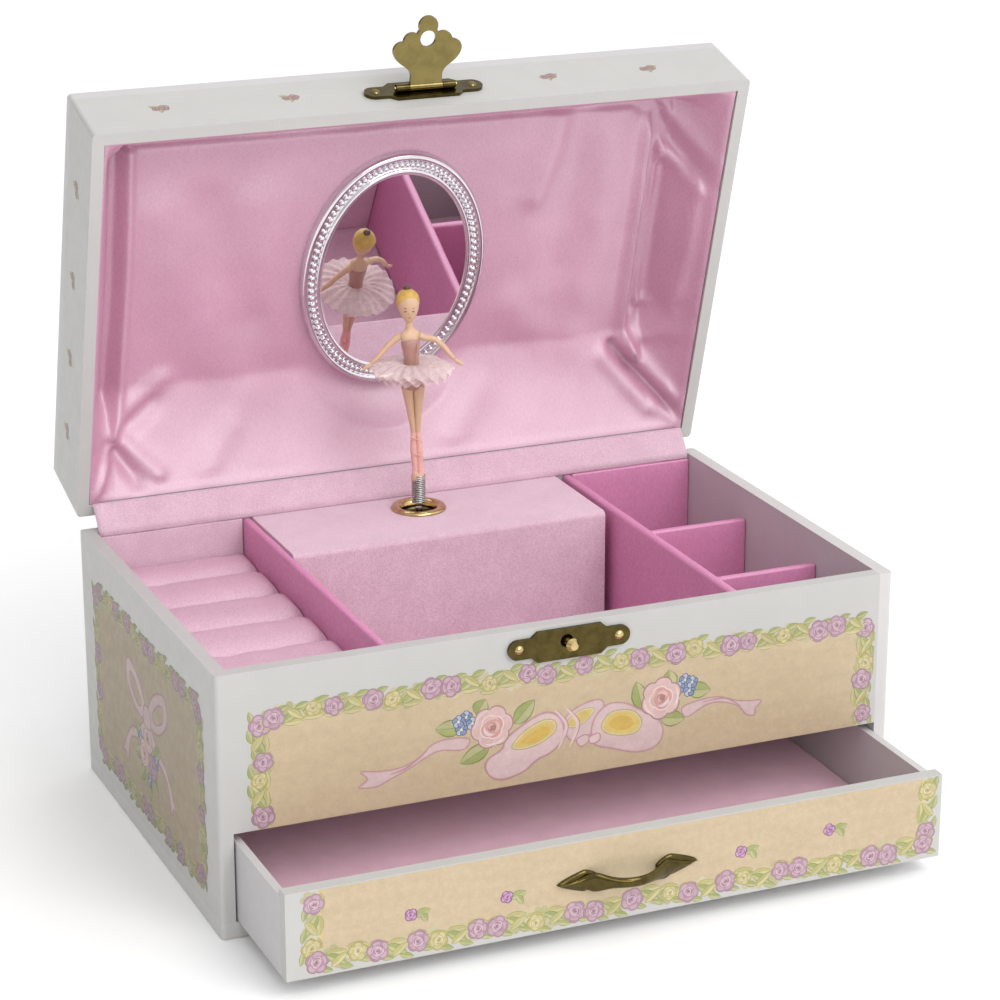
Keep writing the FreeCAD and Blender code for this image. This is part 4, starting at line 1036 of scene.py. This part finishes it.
def tutu():
    """Three rounds of pleated net gathered at the waist, each a little shorter and lower."""
    figure = Dancer()
    low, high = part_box("tutu")
    reach = (high.x - low.x) / 2 / MM
    sides, rows, pleats = 168, 12, 21
    waist, waist_up = 2.25, 36.4
    shapes = []
    for layer in range(3):
        verts = []
        hem = reach - 0.7 * layer
        for row in range(rows):
            t = row / (rows - 1)
            for step, (c, s) in enumerate(around(sides)):
                ruffle = math.sin(pleats * (FULL_TURN * step / sides) + 1.9 * layer)
                uneven = noise.noise(Vector((c * 2, s * 2, layer * 5)))
                radius = waist + (hem - waist) * t * (1 + 0.06 * uneven)
                up = waist_up - 0.35 * layer + 1.0 * math.sin(math.pi * t) - 1.5 * t ** 1.5
                up += (0.5 * ruffle * t ** 0.8) + 1.0 * uneven * t - 0.75 * layer * t
                verts.append(figure.at(radius * c, radius * s, up))
        shapes.append((verts, grid_faces(rows, sides, wrap=True)))
    skirt = joined("dancer_tutu", shapes, "tulle")
    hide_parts("tutu")
    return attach(skirt, "dancer")


# --- printed art -----------------------------------------------------------------------------

TAN = (0.69, 0.545, 0.355)
GOLD_LINE = (0.80, 0.62, 0.22)
LILAC = [(0.42, 0.24, 0.31), (0.55, 0.34, 0.42), (0.66, 0.47, 0.52), (0.48, 0.26, 0.35),
         (0.74, 0.55, 0.60), (0.52, 0.30, 0.39)]
YELLOW = [(0.47, 0.41, 0.13), (0.65, 0.55, 0.23), (0.74, 0.65, 0.38), (0.55, 0.48, 0.16),
          (0.81, 0.70, 0.49), (0.61, 0.53, 0.20)]
ROSE = [(0.55, 0.28, 0.27), (0.86, 0.68, 0.66), (0.90, 0.60, 0.55), (0.94, 0.78, 0.74),
        (0.82, 0.44, 0.40), (0.90, 0.62, 0.56)]
LEAF = [(0.27, 0.33, 0.10), (0.44, 0.48, 0.18), (0.61, 0.58, 0.31)]
OLIVE = [(0.40, 0.38, 0.13), (0.59, 0.53, 0.22), (0.72, 0.64, 0.36)]
FOLIAGE = [(0.63, 0.58, 0.36), (0.72, 0.64, 0.43), (0.57, 0.55, 0.29)]
BLUE = [(0.12, 0.15, 0.26), (0.30, 0.38, 0.56), (0.56, 0.62, 0.74)]
RIBBON = [(0.60, 0.35, 0.35), (0.80, 0.52, 0.52), (0.88, 0.66, 0.64)]
INSOLE = [(0.62, 0.50, 0.22), (0.86, 0.80, 0.56), (0.88, 0.66, 0.22)]
LINING = [(0.88, 0.66, 0.22), (0.88, 0.66, 0.22), (0.84, 0.58, 0.14)]
VIOLET = [(0.26, 0.08, 0.22), (0.50, 0.22, 0.42), (0.70, 0.44, 0.62)]


def beside(centre, reach, angle):
    """A place at some reach and angle from a centre, on a printed face."""
    return centre[0] + reach * math.cos(angle), centre[1] + reach * math.sin(angle)


class Print:
    """Flat coloured shapes printed on one face. Outlines are in millimetres across and up."""
    PROUD = 0.03 * MM

    def __init__(self, name, origin, across, up, sheet, seed, painted_shade_gain=1.0):
        """sheet is the printed face's left, right, low and high edges; nothing passes them."""
        self.name, self.painted_shade_gain = name, painted_shade_gain
        self.origin, self.across, self.up = origin, across, up
        self.shapes, self.inks = [], []
        self.chance = random.Random(seed)
        self.rectangle(*sheet, (1, 1, 1))

    def patch(self, outline, ink):
        """One flat shape, drawn over all the shapes before it."""
        # painted_shade_gain darkens the paper ground and every ink alike: painted shade for faces turned from the
        # light. The drift on top of it is random.
        drift = self.painted_shade_gain * (1 + self.chance.uniform(-0.07, 0.07))
        corners = [Vector(corner) for corner in outline]
        turns = sum(a.cross(b) for a, b in zip(corners, corners[1:] + corners[:1]))
        self.shapes.append(corners if turns > 0 else corners[::-1])
        self.inks.append(tuple(min(1, c * drift) for c in ink))

    def rectangle(self, left, right, low, high, ink):
        self.patch([(left, low), (right, low), (right, high), (left, high)], ink)

    def scallop(self, centre, radius, lobes, turn, depth, ink):
        """A disc whose edge swells into lobes, depth of its radius deep."""
        outline = []
        for step in range(lobes * 7):
            angle = FULL_TURN * step / (lobes * 7)
            reach = radius * (1 - depth + depth * abs(math.sin(lobes * angle / 2)) ** 0.7)
            outline.append(beside(centre, reach, angle + turn))
        self.patch(outline, ink)

    def crescent(self, centre, radius, thick, start, sweep, ink):
        """A curved line round a centre, thickest in the middle of its sweep."""
        outer, inner = [], []
        for step in range(9):
            t = step / 8
            angle = start + sweep * t
            swell = thick * math.sin(math.pi * t)
            outer.append(beside(centre, radius + swell / 2, angle))
            inner.append(beside(centre, radius - swell / 2, angle))
        self.patch(outer + inner[::-1][1:-1], ink)

    def rose(self, centre, radius, inks, petals=5):
        """Outer petals, two turns of inner ones and the dark lines between them."""
        turn = self.chance.uniform(0, FULL_TURN)
        self.scallop(centre, radius, petals, turn, 0.16, inks[0])
        self.scallop(centre, radius * 0.93, petals, turn, 0.17, inks[1])
        for number in range(petals):
            angle = turn + (number + 0.5) * FULL_TURN / petals
            self.scallop(beside(centre, radius * 0.58, angle), radius * 0.30, 3, angle, 0.12,
                         inks[2])
        self.scallop(centre, radius * 0.58, 4, turn + 0.6, 0.14, inks[3])
        self.scallop(centre, radius * 0.52, 4, turn + 0.6, 0.16, inks[4])
        for number in range(3):
            start = turn + number * 2.2
            self.crescent(centre, radius * (0.42 - 0.07 * number), radius * 0.16, start, 2.3,
                          inks[3 if number % 2 else 5])
        self.scallop(centre, radius * 0.2, 3, turn, 0.15, inks[0])
        self.crescent(centre, radius * 0.13, radius * 0.1, turn, 3.4, inks[2])
        for start, sweep in ((1.0, 1.5), (3.6, 1.3)):
            self.crescent(centre, radius * 0.8, radius * 0.1, turn + start, sweep, inks[3])

    def leaf(self, base, tip, width, inks):
        """A pointed leaf with a lighter half and a midrib."""
        base, tip = Vector(base), Vector(tip)
        along = tip - base
        side = Vector((-along.y, along.x)).normalized()

        def edge(reach, sign):
            steps = [0, 0.12, 0.3, 0.5, 0.7, 0.87, 1]
            return [base + along * t + side * sign * width * reach
                    * math.sin(math.pi * t ** 0.85) ** 0.8 for t in steps]
        self.patch(edge(0.5, 1) + edge(0.5, -1)[::-1][1:-1], inks[0])
        middle = [base + along * t for t in (0.97, 0.75, 0.5, 0.25, 0.03)]
        self.patch(edge(0.42, 1)[1:-1] + middle, inks[1])
        self.patch(edge(0.42, -1)[1:-1] + middle, inks[2])
        self.patch([base + along * t + side * w * width
                    for t, w in ((0.05, 0.02), (0.95, 0.004), (0.95, -0.004), (0.05, -0.02))],
                   inks[0])

    def stroke(self, points, width, ink):
        """A brush line through a few points, tapering to both ends."""
        line = smooth_line(points)
        sides = ([], [])
        for number, point in enumerate(line):
            way = line[min(number + 1, len(line) - 1)] - line[max(number - 1, 0)]
            across = Vector((-way.y, way.x)).normalized() * width / 2
            taper = 0.35 + 0.65 * math.sin(math.pi * number / (len(line) - 1))
            sides[0].append(point + across * taper)
            sides[1].append(point - across * taper)
        self.patch(sides[0] + sides[1][::-1], ink)

    def shape(self, points, inks, line_width):
        """A filled smooth outline with a darker drawn edge and a lighter middle."""
        line = smooth_line(points, closed=True)
        count = len(line)
        turns = sum(a.cross(b) for a, b in zip(line, line[1:] + line[:1]))
        sides = []
        for number in range(count):
            way = (line[(number + 1) % count] - line[number - 1]).normalized()
            sides.append(Vector((way.y, -way.x)) * math.copysign(line_width * 0.36, turns))
        for reach, ink in ((1, inks[0]), (-1, inks[1]), (-2.6, inks[2])):
            self.patch([p + side * reach for p, side in zip(line, sides)], ink)

    def blossom(self, centre, radius, inks):
        """Five round petals about a pale eye."""
        for number in range(5):
            angle = FULL_TURN * number / 5 + 0.3
            place = beside(centre, radius * 0.55, angle)
            self.scallop(place, radius * 0.52, 2, angle, 0.1, inks[0])
            self.scallop(place, radius * 0.4, 2, angle, 0.1, inks[1 + number % 2])
        self.scallop(centre, radius * 0.22, 3, 0, 0.1, (0.9, 0.85, 0.6))

    def border(self, start, end, inward):
        """Roses, yellow blooms and leaves in turn along one edge; inward points to the panel."""
        start, end, inward = Vector(start), Vector(end), Vector(inward)
        length = (end - start).length
        order = "LGYLGLYGLLGYGLLG"
        count = max(2, round(length / 5.6))
        way = (end - start).normalized()
        for number in range(count * 2):
            place = start + (end - start) * ((number + 0.5) / (count * 2))
            place += inward * self.chance.uniform(-1.3, 1.5)
            self.scallop(place, self.chance.uniform(1.9, 2.8), 5, number, 0.3, FOLIAGE[number % 3])
        for number in range(count):
            centre = start + (end - start) * ((number + 0.5) / count)
            centre += inward * self.chance.uniform(-0.8, 0.8)
            fringe = centre + inward * 2.0
            self.leaf(fringe - way * 3.0, fringe + way * 2.8, 2.2, OLIVE)
            outside = centre - inward * 1.8
            self.leaf(outside + way * 0.4, outside + way * 4.4 - inward * 1.2, 1.9, LEAF)
            kind = order[number % len(order)]
            radius = self.chance.uniform(2.8, 3.5)
            if kind == "L":
                self.rose(centre, radius, LILAC)
            elif kind == "Y":
                self.leaf(centre - way * 3.2, centre + way * 3.2 + inward, 3.2, LEAF)
                self.rose(centre, radius * 0.82, YELLOW)
            else:
                self.leaf(centre - way * 3.0 + inward * 1.6, centre + way * 2.6 - inward * 1.6,
                          2.6, LEAF)
                self.leaf(centre - way * 1.8 - inward * 2.0, centre + way * 2.8 + inward * 1.5,
                          2.4, OLIVE)

    def sprig(self, centre, size, inks, turn=0.0):
        """Two small roses with two leaves."""
        a, u = centre
        way = Vector((math.cos(turn), math.sin(turn)))
        self.leaf((a, u), (a + way.x * size * 2.1, u + way.y * size * 2.1), size * 0.9, LEAF)
        self.leaf((a, u), (a - way.y * size * 1.6 + size * 0.4, u - size * 1.7), size * 0.8, LEAF)
        self.rose((a - size * 0.9, u - size * 0.2), size * 0.75, inks, 4)
        self.rose((a + size * 0.5, u), size, inks, 4)

    def build(self, body):
        """One flat mesh: each triangle takes the ink of the last shape drawn over it."""
        corners = [corner for shape in self.shapes for corner in shape]
        outlines, start = [], 0
        for shape in self.shapes:
            outlines.append(list(range(start, start + len(shape))))
            start += len(shape)
        spots, _, faces, _, _, covers = delaunay_2d_cdt(corners, [], outlines, 1, 1e-5, True)
        kept = [(face, max(cover)) for face, cover in zip(faces, covers)
                if 0 in cover and max(cover) > 0]
        lift = self.across.cross(self.up) * self.PROUD
        places = [self.origin + self.across * (p.x * MM) + self.up * (p.y * MM) + lift
                  for p in spots]
        piece = new_object(self.name, places, [face for face, _ in kept], "ink", smooth=False)
        colours = piece.data.color_attributes.new("ink", "FLOAT_COLOR", "CORNER")
        for face, (_, top) in zip(piece.data.polygons, kept):
            for corner in face.loop_indices:
                colours.data[corner].color = (*self.inks[top], 1)
        tidy = bmesh.new()
        tidy.from_mesh(piece.data)
        bmesh.ops.delete(tidy, geom=[v for v in tidy.verts if not v.link_faces], context="VERTS")
        tidy.to_mesh(piece.data)
        tidy.free()
        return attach(piece, body)


def front_print():
    low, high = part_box("front_fascia")
    bottom, top = low.z / MM, high.z / MM
    sheet = (low.x / MM + 1, high.x / MM - 1, bottom, top - 1)
    face = Print("fascia_print", Vector((0, low.y, 0)), X, Z, sheet, 11)
    face.rectangle(-86.5, 90, bottom, 60.5, GOLD_LINE)
    face.rectangle(-85.8, 89.3, bottom, 59.9, TAN)
    face.border((-88, bottom + 1), (-88, 62), (1, 0))
    face.border((91.5, 62), (91.5, bottom + 1), (-1, 0))
    face.border((-87, 61.5), (91, 61.5), (0, -1))
    ballet_slippers(face)
    return face.build("base")


def ballet_slippers(face):
    """A crossed pair of slippers between two roses, with a ribbon trailing each way."""
    left = [(-29, 45.9), (-35.1, 46.9), (-40, 45.9), (-43.6, 42.9), (-48.5, 41), (-54.5, 40.8),
            (-60.2, 41.6), (-58.4, 39.1), (-60.9, 37.1), (-55.8, 36.5), (-52.1, 37.9),
            (-46.7, 40), (-41.8, 42.4), (-37.5, 43.8), (-30.8, 43)]
    right = [(34.6, 44.5), (39.5, 45.9), (46, 46), (51, 44.2), (54.6, 43.4), (59.3, 42.8),
             (57.6, 40.7), (57.3, 38.7), (54.7, 39.2), (51.8, 42.4), (46, 44.4), (41.7, 44),
             (36.1, 41.5)]
    for ribbon in (left, right):
        face.shape(ribbon, RIBBON, 0.45)
    face.stroke([(-41, 44.6), (-47, 40.6), (-52, 39.4)], 0.5, RIBBON[0])
    face.stroke([(41, 45.2), (48, 45.2), (53, 42)], 0.5, RIBBON[0])
    middle = [(-0.9, 47), (3.9, 50.3), (9.4, 51.1), (10.8, 48.5), (8.1, 42.8), (5.3, 40.6),
              (0.5, 40.7)]
    face.shape(middle, RIBBON, 0.5)
    face.shape([(-0.2, 46.2), (3.9, 48.9), (8, 48.6), (5.3, 45.3), (1.2, 44)], INSOLE, 0.4)
    heel = [(-24.4, 36.2), (-23.6, 39), (-19.6, 41.3), (-18.5, 43.8), (-14.8, 46.6),
            (-8.6, 49.6), (-4.6, 49.5), (-1.6, 46.6), (-1.2, 41.6), (-4.6, 38), (-9.2, 36.2),
            (-12.9, 33.6), (-18.5, 32.2), (-22.3, 33.2)]
    face.shape(heel, RIBBON, 0.55)
    face.shape([(-16.6, 41.3), (-13.6, 44.9), (-8, 47.6), (-4.2, 47.2), (-3.6, 44.2),
                (-7.4, 41.4), (-12.9, 40.2)], INSOLE, 0.5)
    face.shape([(-14, 41.9), (-12, 44), (-8, 46), (-5.2, 45), (-5.8, 43.2), (-9, 41.5)],
               LINING, 0.2)
    toe = [(8.3, 46.3), (12.2, 49.3), (17.7, 48.6), (23.4, 45), (27.8, 41.8), (28.9, 37.6),
           (26.4, 34.2), (20.7, 33.6), (13.7, 35.8), (8.1, 38), (7, 41.8)]
    face.shape(toe, RIBBON, 0.55)
    face.shape([(10.2, 43.6), (13.2, 46.8), (19.3, 46.3), (22.3, 42.8), (20.8, 39.6),
                (15.7, 39.4), (11.2, 41.1)], INSOLE, 0.5)
    face.shape([(12, 43.4), (14.6, 45.4), (18.6, 44.8), (20, 42.4), (18.4, 40.8), (14.8, 41)],
               LINING, 0.2)
    for place in ((-2.8, 44), (0.6, 43.6)):
        face.stroke([(place[0] - 1, 50), (place[0] + 2.4, 45), (place[0], 38.5)], 1.0,
                    RIBBON[2])
        face.stroke([(place[0] - 0.4, 50), (place[0] + 3, 45), (place[0] + 0.6, 38.5)], 0.35,
                    RIBBON[0])
    face.shape([(2.6, 40.4), (5.6, 41.4), (6.6, 39.6), (4, 38)], RIBBON, 0.4)
    face.shape([(6.4, 40.4), (9.4, 41.2), (9.6, 39), (7, 38.4)], RIBBON, 0.4)
    for base, tip in (((-31, 49.4), (-38.9, 50.2)), ((-23, 43), (-31.8, 39)),
                      ((-16, 48), (-9.8, 54.2)), ((-27, 52.5), (-24.2, 56.6)),
                      ((22.6, 46), (20.4, 54.6)), ((28, 42.6), (35.6, 41.2)),
                      ((30.9, 51), (30.4, 56.4)), ((36.5, 49.4), (43.4, 48.6))):
        face.leaf(base, tip, 5.2, LEAF)
    for side, centre in ((-1, (-29.9, 50.4)), (1, (35.4, 50.8))):
        for shift in ((0, 1.9), (side * 1.4, -1.5), (side * -1.8, -0.2), (side * 2.2, 0.9)):
            face.blossom((centre[0] + shift[0], centre[1] + shift[1]), 1.9, BLUE)
    face.rose((-22.4, 48.2), 6.4, ROSE, 6)
    face.rose((28.2, 48.4), 6.4, ROSE, 6)


def drawer_print():
    low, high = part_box("drawer_front")
    bottom, top = low.z / MM, high.z / MM
    sheet = (low.x / MM + 0.4, high.x / MM - 0.4, bottom + 0.3, top - 0.3)
    face = Print("drawer_print", Vector((0, low.y, 0)), X, Z, sheet, 23)
    face.rectangle(-86.5, 90, bottom + 5, top, GOLD_LINE)
    face.rectangle(-85.8, 89.3, bottom + 5.6, top, TAN)
    face.border((-88, top - 1), (-88, bottom + 5), (1, 0))
    face.border((91, bottom + 5), (91, top - 1), (-1, 0))
    face.border((-90, bottom + 4.2), (93, bottom + 4.2), (0, 1))
    for place in ((-61.4, 17.4), (-34.6, 17.3), (33.8, 17.6), (60.6, 19.2)):
        face.leaf((place[0] + 1, place[1] - 0.5), (place[0] + 5.5, place[1] + 0.8), 2.6, LEAF)
        face.leaf((place[0] + 3, place[1]), (place[0] + 4.6, place[1] - 2.8), 2.0, LEAF)
        face.rose(place, 1.9, [VIOLET[shade] for shade in (0, 1, 2, 0, 2, 1)], 4)
    return face.build("drawer")


def side_print(name, node, across, seed):
    """A bordered panel with a bow over a posy, for one end of the case."""
    low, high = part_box(node)
    out = across.cross(Z)
    face_x = low.x if out.x < 0 else high.x
    half, bottom, top = high.y / MM - 1.5, low.z / MM + 0.5, high.z / MM - 1
    # The ends are printed at 0.68 of the front's brightness: painted shade for faces turned from the light.
    face = Print(name, Vector((face_x, 0, 0)), across, Z, (-half, half, bottom, top), seed, 0.68)
    face.rectangle(-46, 46.5, 12, 60.5, GOLD_LINE)
    face.rectangle(-45.4, 45.9, 12.6, 59.9, TAN)
    face.border((-48, 10), (-48, 62), (1, 0))
    face.border((48.2, 62), (48.2, 10), (-1, 0))
    face.border((-47, 61.4), (47.5, 61.4), (0, -1))
    face.border((47.5, 11), (-47, 11), (0, 1))
    for side in (-1, 1):
        loop = [(0, 41), (side * 7, 49), (side * 17, 52), (side * 19, 45), (side * 11, 38.5),
                (side * 3, 38)]
        face.shape(loop, RIBBON, 0.7)
        face.shape([(side * 5, 42.5), (side * 11, 47.5), (side * 15.5, 48), (side * 14.5, 43.5),
                    (side * 8, 40.5)], [RIBBON[0], (0.66, 0.38, 0.38), TAN], 0.4)
        tail = [(side * 2, 38), (side * 10, 33), (side * 16, 31), (side * 22, 25),
                (side * 25, 20.5), (side * 22.5, 21), (side * 20.4, 18.6), (side * 17, 27),
                (side * 9, 30), (side * 1, 34)]
        face.shape(tail, RIBBON, 0.6)
    for base, tip in (((-5, 30), (-12, 35)), ((5, 30), (12, 34)), ((-3, 24), (-8, 18)),
                      ((3, 24), (9, 19)), ((0, 22), (1, 14.5)), ((-6, 27), (-12.5, 25))):
        face.leaf(base, tip, 4.6, LEAF)
    for place in ((-7, 31), (7.5, 29), (0.5, 21)):
        face.blossom(place, 2.2, BLUE)
    face.rose((-4, 27.5), 4.4, ROSE, 5)
    face.rose((4, 26), 4.2, LILAC, 5)
    face.rose((0, 33), 4.4, ROSE, 5)
    face.shape([(-2.6, 42.5), (2.6, 42.5), (3, 37), (-3, 37)], RIBBON, 0.5)
    return face.build("base")


def lid_sprigs():
    """Tiny sprigs scattered on the lid's front and ends."""
    turn = lid_turn()
    low = shut_box("lid_front_wall")[0]
    low.x = shut_box("lid_left_wall")[0].x
    high = shut_box("lid_right_wall")[1]
    spin = turn.to_3x3()
    inks = [(0.22, 0.12, 0.12), (0.42, 0.27, 0.26), (0.58, 0.40, 0.36), (0.30, 0.17, 0.17),
            (0.52, 0.36, 0.33), (0.38, 0.22, 0.21)]
    faces = []
    tall = shut_box("lid_top_board")[1].z / MM - low.z / MM
    sheet = (low.x / MM, high.x / MM, 2, tall - 2)
    front = Print("lid_front_sprigs", turn @ Vector((0, low.y, low.z)), spin @ X, spin @ Z,
                  sheet, 31)
    for across in (-77, -39, 40, 72):
        front.sprig((across, 12.2), 1.7, inks, 0.3 if across > 0 else 2.7)
    faces.append(front)
    for name, face_x, across in (("left", low.x, -Y), ("right", high.x, Y)):
        side = Print("lid_%s_sprigs" % name, turn @ Vector((face_x, 0, low.z)), spin @ across,
                     spin @ Z, (low.y / MM, high.y / MM, 2, tall - 2), 37)
        for place in (-40.5, -15.5, 10, 39):
            side.sprig((place, 13), 1.7, inks, 1.2)
        faces.append(side)
    for face in faces:
        face.build("lid")


make_camera()
make_stage()
materials = make_materials()
dress_nodes()
front_print()
drawer_print()
side_print("left_print", "left_wall", -Y, 41)
side_print("right_print", "right_wall", Y, 43)
lid_sprigs()
lid_cloth()
hinge_cloth()
make_tray()
mirror_rim()
drawer_handle()
neck_spring()
eyelet()
ballerina()
tutu()
